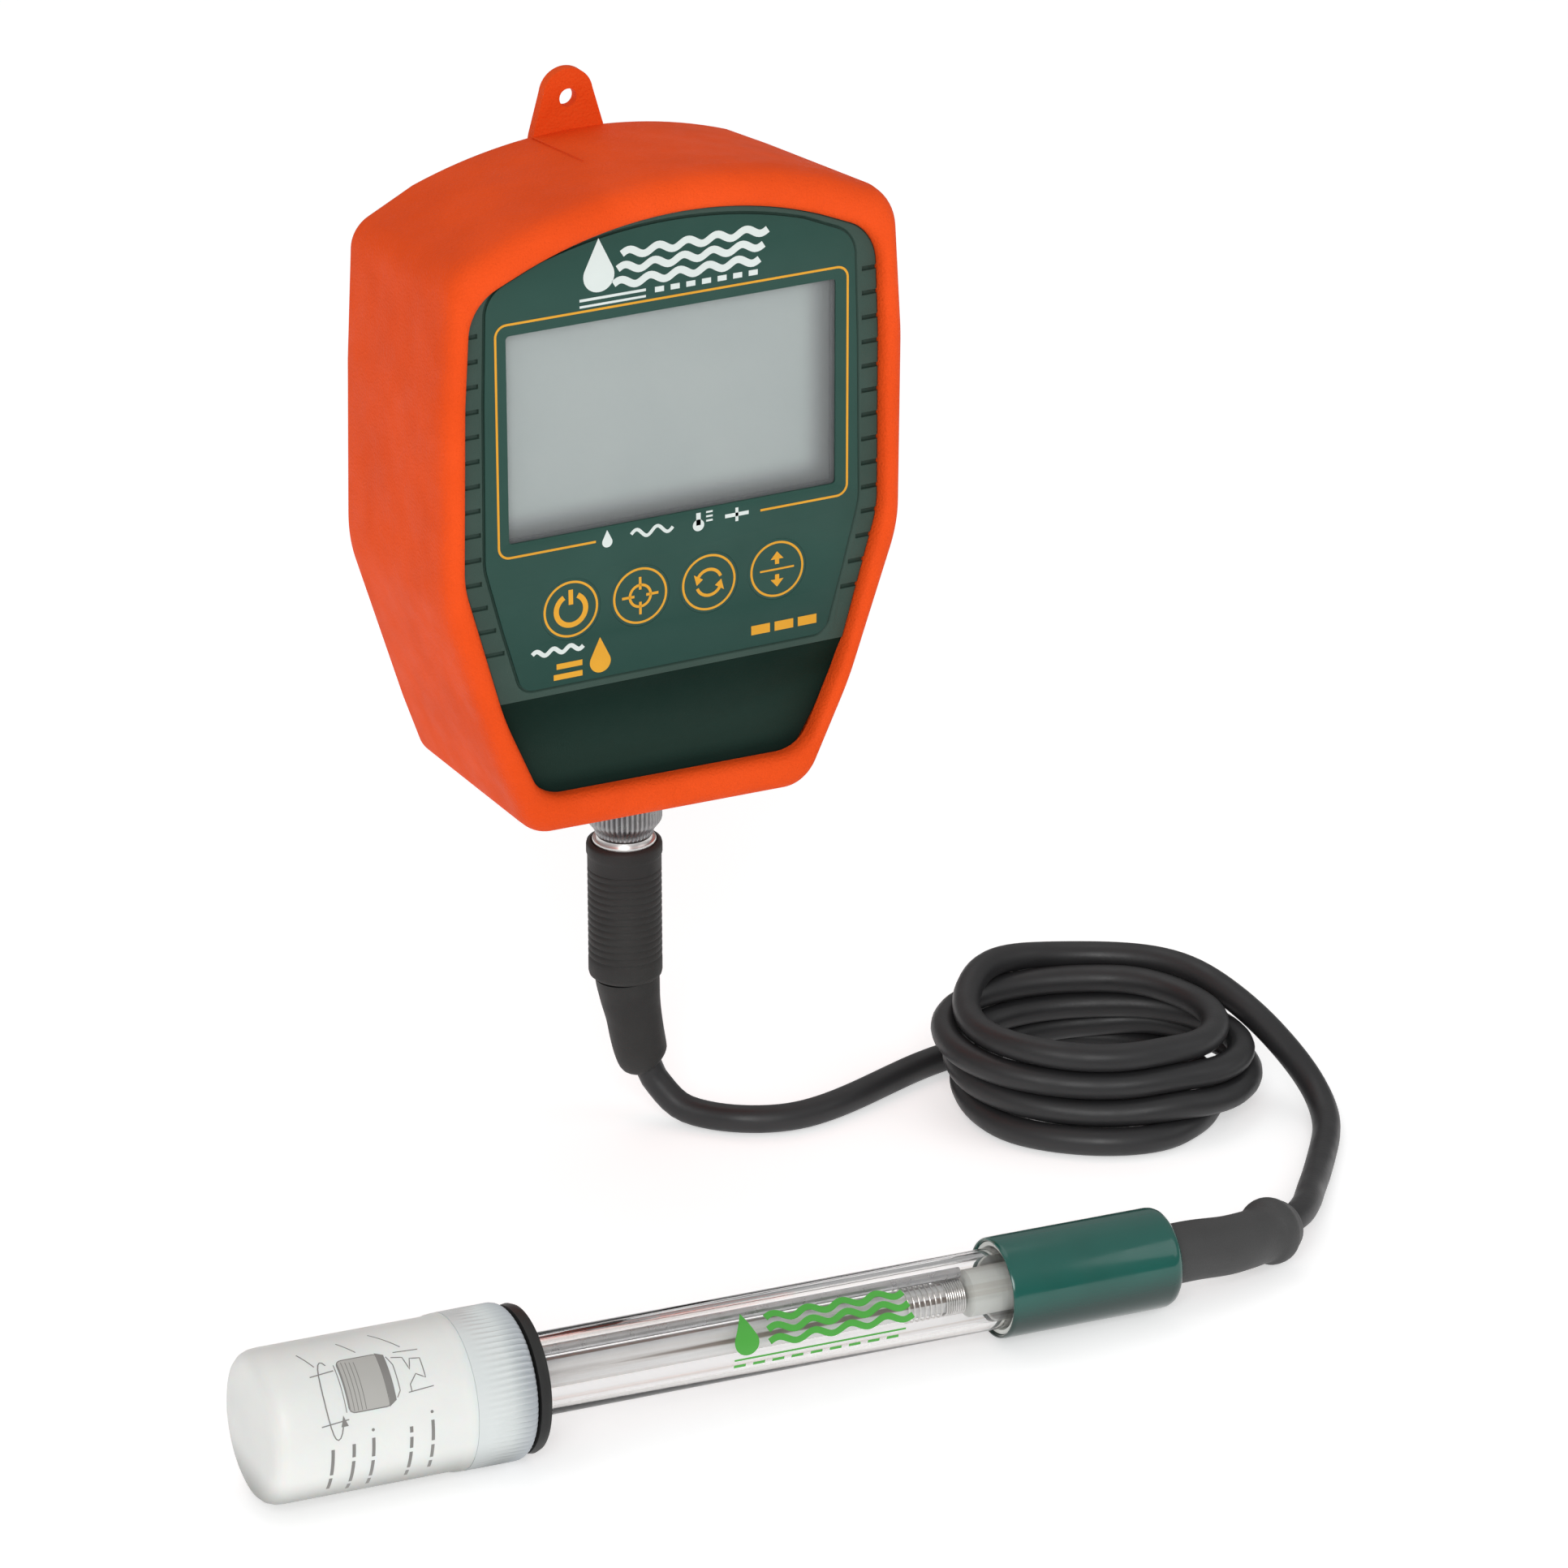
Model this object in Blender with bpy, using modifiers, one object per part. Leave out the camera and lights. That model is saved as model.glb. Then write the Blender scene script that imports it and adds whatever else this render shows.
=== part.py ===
"""Palm-size pH meter in a rubber boot, with its corded electrode and storage bottle.

Metres, +Z up. X runs to the right of someone facing the display, and Y away from them, so the
display faces -Y. The origin is the centre of the hole in the boot's hanging tab.
Round pieces are turned about their own +Z. The electrode and its bottle are placed along an
empty whose +Z runs along the electrode, from the bottle to the cable.
"""

import math

import bmesh
import bpy
from mathutils import Matrix, Vector

MM = 0.001
GAP = 0.3 * MM  # between pieces that touch on the real object

# ---- driving dimensions ----------------------------------------------------------------------
METER_DEPTH = 39 * MM
BACK_Y = 1 * MM  # rear face of the boot
FRONT_Y = BACK_Y - METER_DEPTH  # crest of the boot's front lip
BOOT_WALL = 2.5 * MM
CASE_WALL = 1.8 * MM
CASE_CLEARANCE = BOOT_WALL + GAP  # from the boot's outside to the case's outside
SPLIT_Y = -26 * MM  # where the front and rear case halves meet

TAB_THICKNESS = 1.8 * MM
TAB_HOLE_RADIUS = 1.45 * MM
TAB_TOP_RADIUS = 4.6 * MM

DISPLAY_CENTRE_Z = -38.8 * MM
DISPLAY_SIZE = (54.8 * MM, 33.0 * MM)  # the window that shows in the faceplate
PLATEAU_Y = -35.4 * MM  # raised face of the front case, under the faceplate
FACEPLATE_Y = (-36.1 * MM, -35.7 * MM)

KEY_NAMES = ("power", "calibrate", "mode", "store")
KEY_PITCH = 11.6 * MM
KEY_Z = -67.5 * MM
KEY_RADIUS = 4.75 * MM
KEY_TRAVEL = 0.5 * MM

BATTERY_CENTRE_Z = -58 * MM
BATTERY_RADIUS = 5.2 * MM
BATTERY_LENGTH = 44 * MM

TABLE_Z = -166 * MM  # what the loose cable and the electrode lie on
PLUG_Y = -17.7 * MM  # the socket's and the plug's vertical axis
CABLE_DIAMETER = 4.5 * MM

PROBE_ORIGIN = Vector((0, -106.9 * MM, -156.7 * MM))
PROBE_YAW = math.radians(-2.26)
PROBE_TILT = math.radians(-1.98)

ARCH_STEPS = 5
FILLET_STEPS = 4


# ---- collections, materials and objects -------------------------------------------------------
def clear_scene():
    for thing in list(bpy.data.objects):
        bpy.data.objects.remove(thing, do_unlink=True)


def new_collection(name):
    group = bpy.data.collections.new(name)
    bpy.context.scene.collection.children.link(group)
    return group


clear_scene()
PARTS = new_collection("ph_meter")
CUTTERS = new_collection("cutters")


def finish(colour, roughness, metallic=0.0, alpha=1.0, transmission=0.0):
    """The values of a Principled BSDF."""
    return {
        "Base Color": (*colour, 1.0),
        "Roughness": roughness,
        "Metallic": metallic,
        "Alpha": alpha,
        "Transmission Weight": transmission,
    }


ORANGE_RUBBER = finish((0.86, 0.13, 0.02), 0.75)
CASE_GREEN = finish((0.035, 0.075, 0.058), 0.55)
FACE_GREEN = finish((0.03, 0.125, 0.095), 0.4)
KEY_GREEN = finish((0.035, 0.135, 0.1), 0.4)
CLEAR_PLASTIC = finish((0.85, 0.88, 0.88), 0.06, alpha=0.4, transmission=0.9)
CLEAR_GLASS = finish((0.9, 0.94, 0.94), 0.03, alpha=0.4, transmission=1.0)
DARK_PLASTIC = finish((0.03, 0.035, 0.04), 0.5)
DISPLAY_GREY = finish((0.38, 0.42, 0.41), 0.3)
BOARD_GREEN = finish((0.02, 0.16, 0.07), 0.5)
CHIP_BLACK = finish((0.02, 0.02, 0.022), 0.4)
STEEL = finish((0.6, 0.6, 0.6), 0.3, metallic=1.0)
NICKEL = finish((0.5, 0.5, 0.5), 0.32, metallic=1.0)
GOLD = finish((0.8, 0.6, 0.25), 0.3, metallic=1.0)
BLACK_RUBBER = finish((0.028, 0.027, 0.026), 0.65)
CABLE_BLACK = finish((0.03, 0.03, 0.031), 0.45)
SLEEVE_TEAL = finish((0.01, 0.13, 0.1), 0.25)
CREAM = finish((0.6, 0.56, 0.45), 0.5)
SILVER_WIRE = finish((0.75, 0.75, 0.73), 0.3, metallic=1.0)
MILKY = finish((0.75, 0.79, 0.8), 0.35, transmission=0.3)
BATTERY_WRAP = finish((0.05, 0.06, 0.09), 0.35)


def paint(thing, values):
    material = bpy.data.materials.new(thing.name)
    material.use_nodes = True
    shader = material.node_tree.nodes["Principled BSDF"]
    for socket, value in values.items():
        shader.inputs[socket].default_value = value
    thing.data.materials.append(material)


def place(name, data, values=None, at=(0, 0, 0), turn=(0, 0, 0), parent=None, scale=(1, 1, 1)):
    """A part where values are given, otherwise a cutter or a shape that another piece takes in."""
    thing = bpy.data.objects.new(name, data)
    thing.location, thing.rotation_euler, thing.scale = at, turn, scale
    thing.parent = parent
    (PARTS if values else CUTTERS).objects.link(thing)
    if values:
        paint(thing, values)
    else:
        thing.hide_render = True
        thing.display_type = "WIRE"
    return thing


def as_mesh(name, shape):
    """A mesh from a bmesh, faces pointing out."""
    bmesh.ops.recalc_face_normals(shape, faces=shape.faces)
    mesh = bpy.data.meshes.new(name)
    shape.to_mesh(mesh)
    shape.free()
    return mesh


def boolean(thing, other, operation):
    step = thing.modifiers.new(operation.lower(), "BOOLEAN")
    step.operation = operation
    step.solver = "EXACT"
    step.object = other


def cut(thing, *others):
    for other in others:
        boolean(thing, other, "DIFFERENCE")


def join(thing, *others):
    for other in others:
        boolean(thing, other, "UNION")


# ---- shapes -----------------------------------------------------------------------------------
def box(name, size, at, values=None, **where):
    shape = bmesh.new()
    bmesh.ops.create_cube(shape, size=1.0)
    bmesh.ops.scale(shape, vec=Vector(size), verts=shape.verts)
    return place(name, as_mesh(name, shape), values, at=at, **where)


def rod(name, radius, length, at, values=None, sides=24, **where):
    """A cylinder along its own Z, with its middle at the given place."""
    shape = bmesh.new()
    bmesh.ops.create_cone(
        shape, cap_ends=True, segments=sides, radius1=radius, radius2=radius, depth=length
    )
    return place(name, as_mesh(name, shape), values, at=at, **where)


ALONG_Y = (math.radians(-90), 0, 0)  # turns a piece's +Z to +Y
FACING = (math.radians(90), 0, 0)  # turns a flat outline's X and Y to X and Z


def turned(name, profile, values=None, steps=28, closed=False, **where):
    """Turns (radius, height) points about Z. They run down the outer side, top to bottom."""
    count = len(profile)
    edges = [(i, i + 1) for i in range(count - 1)] + ([(count - 1, 0)] if closed else [])
    mesh = bpy.data.meshes.new(name)
    mesh.from_pydata([(radius, 0, height) for radius, height in profile], edges, [])
    thing = place(name, mesh, values, **where)
    screw = thing.modifiers.new("turn", "SCREW")
    screw.axis = "Z"
    screw.angle = math.radians(360)
    screw.steps = screw.render_steps = steps
    screw.use_merge_vertices = True
    screw.merge_threshold = 0.00001
    screw.use_smooth_shade = True
    return thing


def ring(name, inner, outer, low, high, values=None, steps=28, **where):
    section = [(outer, high), (outer, low), (inner, low), (inner, high)]
    return turned(name, section, values, steps=steps, closed=True, **where)


def plate(name, outlines, low_y, high_y, values):
    """A flat sheet between two depths. The first outline is its edge, and the rest are holes."""
    curve = bpy.data.curves.new(name, "CURVE")
    curve.dimensions = "2D"
    curve.fill_mode = "BOTH"
    curve.extrude = (high_y - low_y) / 2
    for outline in outlines:
        spline = curve.splines.new("POLY")
        spline.points.add(len(outline) - 1)
        for point, (x, z) in zip(spline.points, outline):
            point.co = (x, z, 0, 1)
        spline.use_cyclic_u = True
    return place(name, curve, values, at=(0, (low_y + high_y) / 2, 0), turn=FACING)


def tube(name, points, radius, values, radii=None, resolution=2, **where):
    """A round rod with closed ends along a line of points, with an optional taper."""
    curve = bpy.data.curves.new(name, "CURVE")
    curve.dimensions = "3D"
    curve.bevel_depth = radius
    curve.bevel_resolution = resolution
    curve.use_fill_caps = True
    spline = curve.splines.new("POLY")
    spline.points.add(len(points) - 1)
    for i, (point, place_at) in enumerate(zip(spline.points, points)):
        point.co = (*place_at, 1)
        point.radius = radii[i] if radii else 1.0
    return place(name, curve, values, **where)


def loft(name, rings, values=None):
    """A closed solid through rings of the same number of points, each an outline at a depth."""
    shape = bmesh.new()
    loops = [[shape.verts.new((x, y, z)) for x, z in outline] for y, outline in rings]
    for near, far in zip(loops, loops[1:]):
        for i in range(len(near)):
            j = (i + 1) % len(near)
            shape.faces.new((near[i], near[j], far[j], far[i]))
    shape.faces.new(loops[0])
    shape.faces.new(loops[-1])
    return place(name, as_mesh(name, shape), values)


def smooth_line(points, spacing):
    """A smooth curve through the points, read at even distances."""
    ends = [Vector(p) for p in points]
    path = [2 * ends[0] - ends[1], *ends, 2 * ends[-1] - ends[-2]]
    fine = []
    for a, b, c, d in zip(path, path[1:], path[2:], path[3:]):
        for step in range(12):
            t = step / 12
            fine.append(
                0.5 * (2 * b + (c - a) * t + (2 * a - 5 * b + 4 * c - d) * t**2
                       + (3 * b - a - 3 * c + d) * t**3)
            )
    fine.append(ends[-1])
    lengths = [0.0]
    for near, far in zip(fine, fine[1:]):
        lengths.append(lengths[-1] + (far - near).length)
    count = max(2, round(lengths[-1] / spacing))
    line, at = [], 0
    for i in range(count + 1):
        target = lengths[-1] * i / count
        while at < len(lengths) - 2 and lengths[at + 1] < target:
            at += 1
        share = (target - lengths[at]) / max(lengths[at + 1] - lengths[at], 1e-9)
        line.append(fine[at].lerp(fine[at + 1], min(share, 1.0)))
    return line


# ---- the meter's front-view outlines ----------------------------------------------------------
class Outline:
    """An arched top, then corners (x, z, fillet radius) down the right side, mirrored."""

    def __init__(self, top, arch, corners):
        self.top, self.arch, self.corners = top, arch, corners

    def inset(self, distance):
        """The same outline moved inwards all round."""
        path = [self.arch_end(), *[Vector(c[:2]) for c in self.corners]]
        path.append(Vector((0, self.corners[-1][1])))
        corners = []
        for i, corner in enumerate(self.corners, start=1):
            before = (path[i] - path[i - 1]).normalized()
            after = (path[i + 1] - path[i]).normalized()
            inward = Vector((before.y + after.y, -before.x - after.x)) / (1 + before.dot(after))
            moved = path[i] + inward * distance
            corners.append((moved.x, moved.y, max(corner[2] - distance, 1 * MM)))
        return Outline(self.top - distance, self.arch - distance, corners)

    def toward(self, other, share):
        """Part of the way to another outline."""
        def mix(a, b):
            return a + (b - a) * share

        corners = [tuple(mix(a, b) for a, b in zip(*pair)) for pair in
                   zip(self.corners, other.corners)]
        return Outline(mix(self.top, other.top), mix(self.arch, other.arch), corners)

    def on_arch(self, x):
        return Vector((x, self.top - self.arch + math.sqrt(self.arch**2 - x**2)))

    def arch_end(self):
        return self.on_arch(0.72 * self.corners[0][0])

    def loop(self):
        reach = self.arch_end().x
        right = [self.on_arch(reach * i / ARCH_STEPS) for i in range(ARCH_STEPS + 1)]
        path = [right[-1], *[Vector(c[:2]) for c in self.corners]]
        path.append(Vector((0, self.corners[-1][1])))
        for i, corner in enumerate(self.corners, start=1):
            right += fillet(path[i - 1], path[i], path[i + 1], corner[2])
        left = [Vector((-p.x, p.y)) for p in reversed(right[1:])]
        return [(p.x, p.y) for p in right + left]


def fillet(before, corner, after, radius):
    """Points of the arc that rounds a corner."""
    come, leave = (corner - before).normalized(), (after - corner).normalized()
    turn = math.acos(max(-1.0, min(1.0, come.dot(leave))))
    reach = radius * math.tan(turn / 2)
    side = 1 if come.cross(leave) > 0 else -1
    centre = corner - come * reach + Vector((-come.y, come.x)) * radius * side
    start = corner - come * reach - centre
    arc = []
    for i in range(FILLET_STEPS + 1):
        angle = side * turn * i / FILLET_STEPS
        cos, sin = math.cos(angle), math.sin(angle)
        arc.append(centre + Vector((start.x * cos - start.y * sin, start.x * sin + start.y * cos)))
    return arc


def rounded_box(width, height, centre_z, radius, centre_x=0.0):
    """The outline of a rectangle with rounded corners."""
    w, h = width / 2, height / 2
    corners = [Vector(c) for c in ((w, h), (w, -h), (-w, -h), (-w, h))]
    points = []
    for i, corner in enumerate(corners):
        points += fillet(corners[i - 1], corner, corners[(i + 1) % 4], radius)
    return [(p.x + centre_x, p.y + centre_z) for p in points]


def circle(radius, x, z, sides=20):
    angles = [2 * math.pi * i / sides for i in range(sides)]
    return [(x + radius * math.cos(a), z + radius * math.sin(a)) for a in angles]


BOOT_FRONT = Outline(-1.0 * MM, 79 * MM, [
    (38.8 * MM, -10.3 * MM, 11 * MM), (39.4 * MM, -60.5 * MM, 14 * MM),
    (23.9 * MM, -104.6 * MM, 5.5 * MM)])
BOOT_BACK = Outline(-4.4 * MM, 79 * MM, [
    (37.3 * MM, -13.6 * MM, 9 * MM), (37.9 * MM, -60.5 * MM, 14 * MM),
    (24.1 * MM, -104.8 * MM, 5.5 * MM)])
OPENING = Outline(-7.3 * MM, 74 * MM, [
    (34.0 * MM, -16.1 * MM, 7 * MM), (34.6 * MM, -59.5 * MM, 10 * MM),
    (21.0 * MM, -97.2 * MM, 5 * MM)])
FACEPLATE = Outline(-8.6 * MM, 75 * MM, [
    (30.5 * MM, -15.6 * MM, 5 * MM), (31.3 * MM, -58.5 * MM, 10 * MM),
    (25.6 * MM, -79.6 * MM, 2.5 * MM)])


def boot_at(y):
    """The boot's outside at a depth, which narrows towards the back."""
    return BOOT_FRONT.toward(BOOT_BACK, (y - FRONT_Y) / METER_DEPTH)


# ---- the boot -----------------------------------------------------------------------------------
def tab_shape():
    """The hanging tab: a round top over sides that widen down to the boot's rear wall."""
    points = [Vector((-7.4 * MM, -10 * MM)), Vector((-6.35 * MM, -5.6 * MM))]
    for i in range(9):
        angle = math.radians(172 - 164 * i / 8)
        points.append(Vector((math.cos(angle), math.sin(angle))) * TAB_TOP_RADIUS)
    points += [Vector((6.35 * MM, -5.6 * MM)), Vector((7.4 * MM, -10 * MM))]
    shape = bmesh.new()
    face = shape.faces.new(
        [shape.verts.new((p.x, -TAB_THICKNESS / 2, p.y + 0.6 * MM)) for p in points]
    )
    grown = bmesh.ops.extrude_face_region(shape, geom=[face])["geom"]
    moved = [v for v in grown if isinstance(v, bmesh.types.BMVert)]
    bmesh.ops.translate(shape, verts=moved, vec=(0, TAB_THICKNESS, 0))
    return place("tab_shape", as_mesh("tab_shape", shape))


def make_boot():
    lip = [(-34.6, 0.0), (-36.7, 0.08), (-37.7, 0.25), (-38.0, 0.48), (-37.75, 0.72),
           (-37.0, 0.92), (-36.2, 1.0), (-35.3, 1.0)]
    front = boot_at(-34.6 * MM)
    rings = [
        (BACK_Y, boot_at(BACK_Y).inset(1.6 * MM).loop()),
        (0.45 * MM, boot_at(0.45 * MM).inset(0.45 * MM).loop()),
        (-0.8 * MM, boot_at(-0.8 * MM).loop()),
        *[(y * MM, front.toward(OPENING, share).loop()) for y, share in lip],
        (-34.2 * MM, boot_at(-34.2 * MM).inset(BOOT_WALL).loop()),
        (-3.2 * MM, boot_at(-3.2 * MM).inset(BOOT_WALL).loop()),
        (-1.8 * MM, boot_at(-1.8 * MM).inset(BOOT_WALL + 0.6 * MM).loop()),
        (-1.0 * MM, boot_at(-1.0 * MM).inset(BOOT_WALL + 2.2 * MM).loop()),
    ]
    boot = loft("rubber_boot", rings, ORANGE_RUBBER)
    window = box("boot_window", (58 * MM, 8 * MM, 28.4 * MM), (0, 0, BATTERY_CENTRE_Z))
    plug_hole = rod("boot_plug_hole", 7 * MM, 12 * MM, (0, PLUG_Y, -103.5 * MM))
    tab_hole = rod("tab_hole", TAB_HOLE_RADIUS, 6 * MM, (0, 0, 0), turn=ALONG_Y, sides=16)
    join(boot, tab_shape())
    cut(boot, window, plug_hole, tab_hole)


# ---- the case -------------------------------------------------------------------------------------
SCREW_PLACES = [(23.5, -15.0), (-23.5, -15.0), (18.5, -89.0), (-18.5, -89.0)]
BOSS_RADIUS = 3.0 * MM


def slope_cutter(name, depth, drop):
    """Takes the front off below the keys, along a face that leans back towards the bottom."""
    size = (90 * MM, 20 * MM, 44 * MM)
    cutter = box(name, size, (0, 0, 0))
    lean = math.radians(13.5)
    top = Vector((0, -35.0 * MM + depth, -81.2 * MM + drop))
    cutter.rotation_euler = (lean, 0, 0)
    cutter.location = top + Matrix.Rotation(lean, 3, "X") @ Vector((0, -size[1] / 2, -size[2] / 2))
    return cutter


def boss(name, place_xz, near_y, far_y, radius=BOSS_RADIUS):
    x, z = place_xz[0] * MM, place_xz[1] * MM
    return rod(name, radius, far_y - near_y, (x, (near_y + far_y) / 2, z), turn=ALONG_Y, sides=14)


def make_front_case():
    rings = [
        (SPLIT_Y - GAP / 2, boot_at(SPLIT_Y).inset(CASE_CLEARANCE).loop()),
        (-33.6 * MM, boot_at(-33.6 * MM).inset(CASE_CLEARANCE).loop()),
        (-34.85 * MM, OPENING.inset(0.3 * MM).loop()),
        (-34.95 * MM, FACEPLATE.inset(-0.7 * MM).loop()),
        (PLATEAU_Y, FACEPLATE.inset(-0.3 * MM).loop()),
    ]
    case = loft("front_case", rings, CASE_GREEN)
    wall = CASE_CLEARANCE + CASE_WALL
    hollow = loft("front_hollow", [
        (SPLIT_Y + 1 * MM, boot_at(SPLIT_Y).inset(wall).loop()),
        (-32.0 * MM, boot_at(-32.0 * MM).inset(wall).loop()),
        (-33.1 * MM, OPENING.inset(1.3 * MM).loop()),
    ])
    cut(hollow, slope_cutter("inner_slope", 1.9 * MM, 0.4 * MM))
    cut(case, slope_cutter("outer_slope", 0, 0), hollow)
    display_hole = box(
        "display_hole", (58.6 * MM, 8 * MM, 36.6 * MM), (0, -34 * MM, DISPLAY_CENTRE_Z)
    )
    cut(case, display_hole)
    for i in range(len(KEY_NAMES)):
        hole = rod(f"key_hole_{i}", 5.05 * MM, 8 * MM, (key_x(i), -34 * MM, KEY_Z), turn=ALONG_Y)
        cut(case, hole)
    for i, where in enumerate(SCREW_PLACES):
        join(case, boss(f"front_boss_{i}", where, -33.4 * MM, SPLIT_Y - GAP))
        cut(case, boss(f"front_boss_hole_{i}", where, -31.0 * MM, SPLIT_Y + 1 * MM, 1.5 * MM))


def make_rear_case():
    rings = [
        (SPLIT_Y + GAP / 2, boot_at(SPLIT_Y).inset(CASE_CLEARANCE).loop()),
        (-3.4 * MM, boot_at(-3.4 * MM).inset(CASE_CLEARANCE).loop()),
        (-2.05 * MM, boot_at(-2.05 * MM).inset(CASE_CLEARANCE + 0.6 * MM).loop()),
        (-1.3 * MM, boot_at(-1.3 * MM).inset(CASE_CLEARANCE + 2.2 * MM).loop()),
    ]
    case = loft("rear_case", rings, CASE_GREEN)
    wall = CASE_CLEARANCE + CASE_WALL
    hollow = loft("rear_hollow", [
        (SPLIT_Y - 1 * MM, boot_at(SPLIT_Y).inset(wall).loop()),
        (-3.1 * MM, boot_at(-3.1 * MM).inset(wall).loop()),
    ])
    cut(case, hollow)
    battery_hole = box("battery_hole", (46.6 * MM, 6 * MM, 22.6 * MM), (0, -2 * MM, BATTERY_CENTRE_Z))
    cut(case, battery_hole)
    cut(case, rod("socket_hole", 4.3 * MM, 8 * MM, (0, PLUG_Y, -101 * MM)))
    for i, where in enumerate(SCREW_PLACES):
        join(case, boss(f"rear_boss_{i}", where, SPLIT_Y + GAP, -2.6 * MM))
        cut(case, boss(f"rear_boss_hole_{i}", where, SPLIT_Y - 1 * MM, 1 * MM, 1.6 * MM))
        cut(case, boss(f"rear_boss_sink_{i}", where, -4.6 * MM, 1 * MM, 2.5 * MM))
    for side in (-1, 1):
        x = side * DOOR_SCREW_X
        cut(case, rod(f"door_thread_{side}", 0.9 * MM, 8 * MM, (x, -2 * MM, BATTERY_CENTRE_Z),
                      turn=ALONG_Y, sides=12))


def make_case_seal():
    outer = boot_at(SPLIT_Y).inset(CASE_CLEARANCE + CASE_WALL + GAP)
    plate("case_seal", [outer.loop(), outer.inset(0.8 * MM).loop()], -27 * MM, -25 * MM,
          BLACK_RUBBER)


def make_case_screws():
    for i, (x, z) in enumerate(SCREW_PLACES, start=1):
        profile = [(0, -3.0), (2.1, -3.0), (2.1, -4.3), (1.2, -4.3), (1.2, -30.0), (0, -30.0)]
        turned(f"case_screw_{i}", [(r * MM, y * MM) for r, y in profile], STEEL, steps=10,
               at=(x * MM, 0, z * MM), turn=ALONG_Y)


# ---- faceplate, keys and display ---------------------------------------------------------------
def key_x(index):
    return (index - (len(KEY_NAMES) - 1) / 2) * KEY_PITCH


def make_faceplate():
    holes = [rounded_box(*DISPLAY_SIZE, DISPLAY_CENTRE_Z, 0.6 * MM)]
    holes += [circle(KEY_RADIUS + GAP, key_x(i), KEY_Z, 24) for i in range(len(KEY_NAMES))]
    plate("faceplate", [FACEPLATE.loop(), *holes], *FACEPLATE_Y, FACE_GREEN)


def make_keys():
    """Each key is a disc of the faceplate with a short stem that presses its switch."""
    top, under, tip = -FACEPLATE_Y[0], -FACEPLATE_Y[1], 32.7 * MM
    profile = [(0, top), (KEY_RADIUS, top), (KEY_RADIUS, under), (1.5 * MM, under),
               (1.5 * MM, tip), (0, tip)]
    for i, name in enumerate(KEY_NAMES):
        turned(f"key_{name}", profile, KEY_GREEN, steps=24, at=(key_x(i), 0, KEY_Z), turn=FACING)


def make_switches():
    """A dome switch on the board behind each key."""
    for i, name in enumerate(KEY_NAMES):
        body = box(f"switch_{name}", (4.6 * MM, 1.9 * MM, 4.6 * MM),
                   (key_x(i), -30.45 * MM, KEY_Z), DARK_PLASTIC)
        join(body, rod(f"dome_{name}", 1.4 * MM, 1.2 * MM, (key_x(i), -31.4 * MM, KEY_Z),
                       turn=ALONG_Y, sides=12))


def make_display():
    width, height = DISPLAY_SIZE
    box("display_window", (58 * MM, 0.9 * MM, 36 * MM), (0, -34.95 * MM, DISPLAY_CENTRE_Z),
        CLEAR_PLASTIC)
    bezel = box("display_bezel", (58 * MM, 2.8 * MM, 36 * MM), (0, -32.8 * MM, DISPLAY_CENTRE_Z),
                DARK_PLASTIC)
    join(bezel, box("bezel_flange", (61 * MM, 1.4 * MM, 39 * MM),
                    (0, -32.05 * MM, DISPLAY_CENTRE_Z)))
    cut(bezel, box("bezel_view", (width + 0.4 * MM, 6 * MM, height + 0.4 * MM),
                   (0, -34.5 * MM, DISPLAY_CENTRE_Z)))
    cut(bezel, box("bezel_pocket", (56.8 * MM, 4 * MM, 34.8 * MM),
                   (0, -31.6 * MM, DISPLAY_CENTRE_Z)))
    box("display_glass", (56.2 * MM, 1.6 * MM, 34.2 * MM), (0, -32.5 * MM, DISPLAY_CENTRE_Z),
        DISPLAY_GREY)
    box("display_connector", (52 * MM, 1.9 * MM, 2 * MM),
        (0, -30.45 * MM, DISPLAY_CENTRE_Z - 15.4 * MM), CHIP_BLACK)


def make_board():
    edge = [(-29, -19), (29, -19), (29, -64), (23.5, -83.5), (-23.5, -83.5), (-29, -64)]
    plate("main_board", [[(x * MM, z * MM) for x, z in edge]], -29.2 * MM, -27.6 * MM,
          BOARD_GREEN)
    box("processor", (10 * MM, 1.4 * MM, 10 * MM), (0, -26.6 * MM, -40 * MM), CHIP_BLACK)


# ---- batteries -----------------------------------------------------------------------------------
DOOR_SCREW_X = 25.6 * MM
BATTERY_Y = -9.6 * MM


def make_batteries():
    tray = box("battery_tray", (51.6 * MM, 13.6 * MM, 24.8 * MM),
               (0, -10.4 * MM, BATTERY_CENTRE_Z), DARK_PLASTIC)
    cut(tray, box("tray_room", (49.2 * MM, 14 * MM, 22.4 * MM),
                  (0, -9.0 * MM, BATTERY_CENTRE_Z)))
    half = BATTERY_LENGTH / 2
    for i, side in enumerate((1, -1), start=1):
        z = BATTERY_CENTRE_Z + side * 5.55 * MM
        profile = [(0, half), (1.7 * MM, half), (1.7 * MM, half - 0.8 * MM),
                   (BATTERY_RADIUS, half - 0.8 * MM), (BATTERY_RADIUS, -half), (0, -half)]
        turned(f"battery_{i}", profile, BATTERY_WRAP, steps=20,
               at=(side * 0.9 * MM, BATTERY_Y, z), turn=(0, side * math.radians(90), 0))
        box(f"battery_contact_{i}", (0.5 * MM, 8 * MM, 9 * MM),
            (side * 23.9 * MM, BATTERY_Y, z), NICKEL)
        # the negative end's spring, a cone of wire on its own coil
        turns, points = 2.5, []
        for step in range(21):
            share = step / 20
            angle, radius = share * turns * 2 * math.pi, (3.4 - 1.6 * share) * MM
            x = -side * (24.0 - 2.4 * share) * MM
            points.append((x, BATTERY_Y + radius * math.cos(angle), z + radius * math.sin(angle)))
        tube(f"battery_spring_{i}", points, 0.3 * MM, NICKEL, resolution=1)


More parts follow.
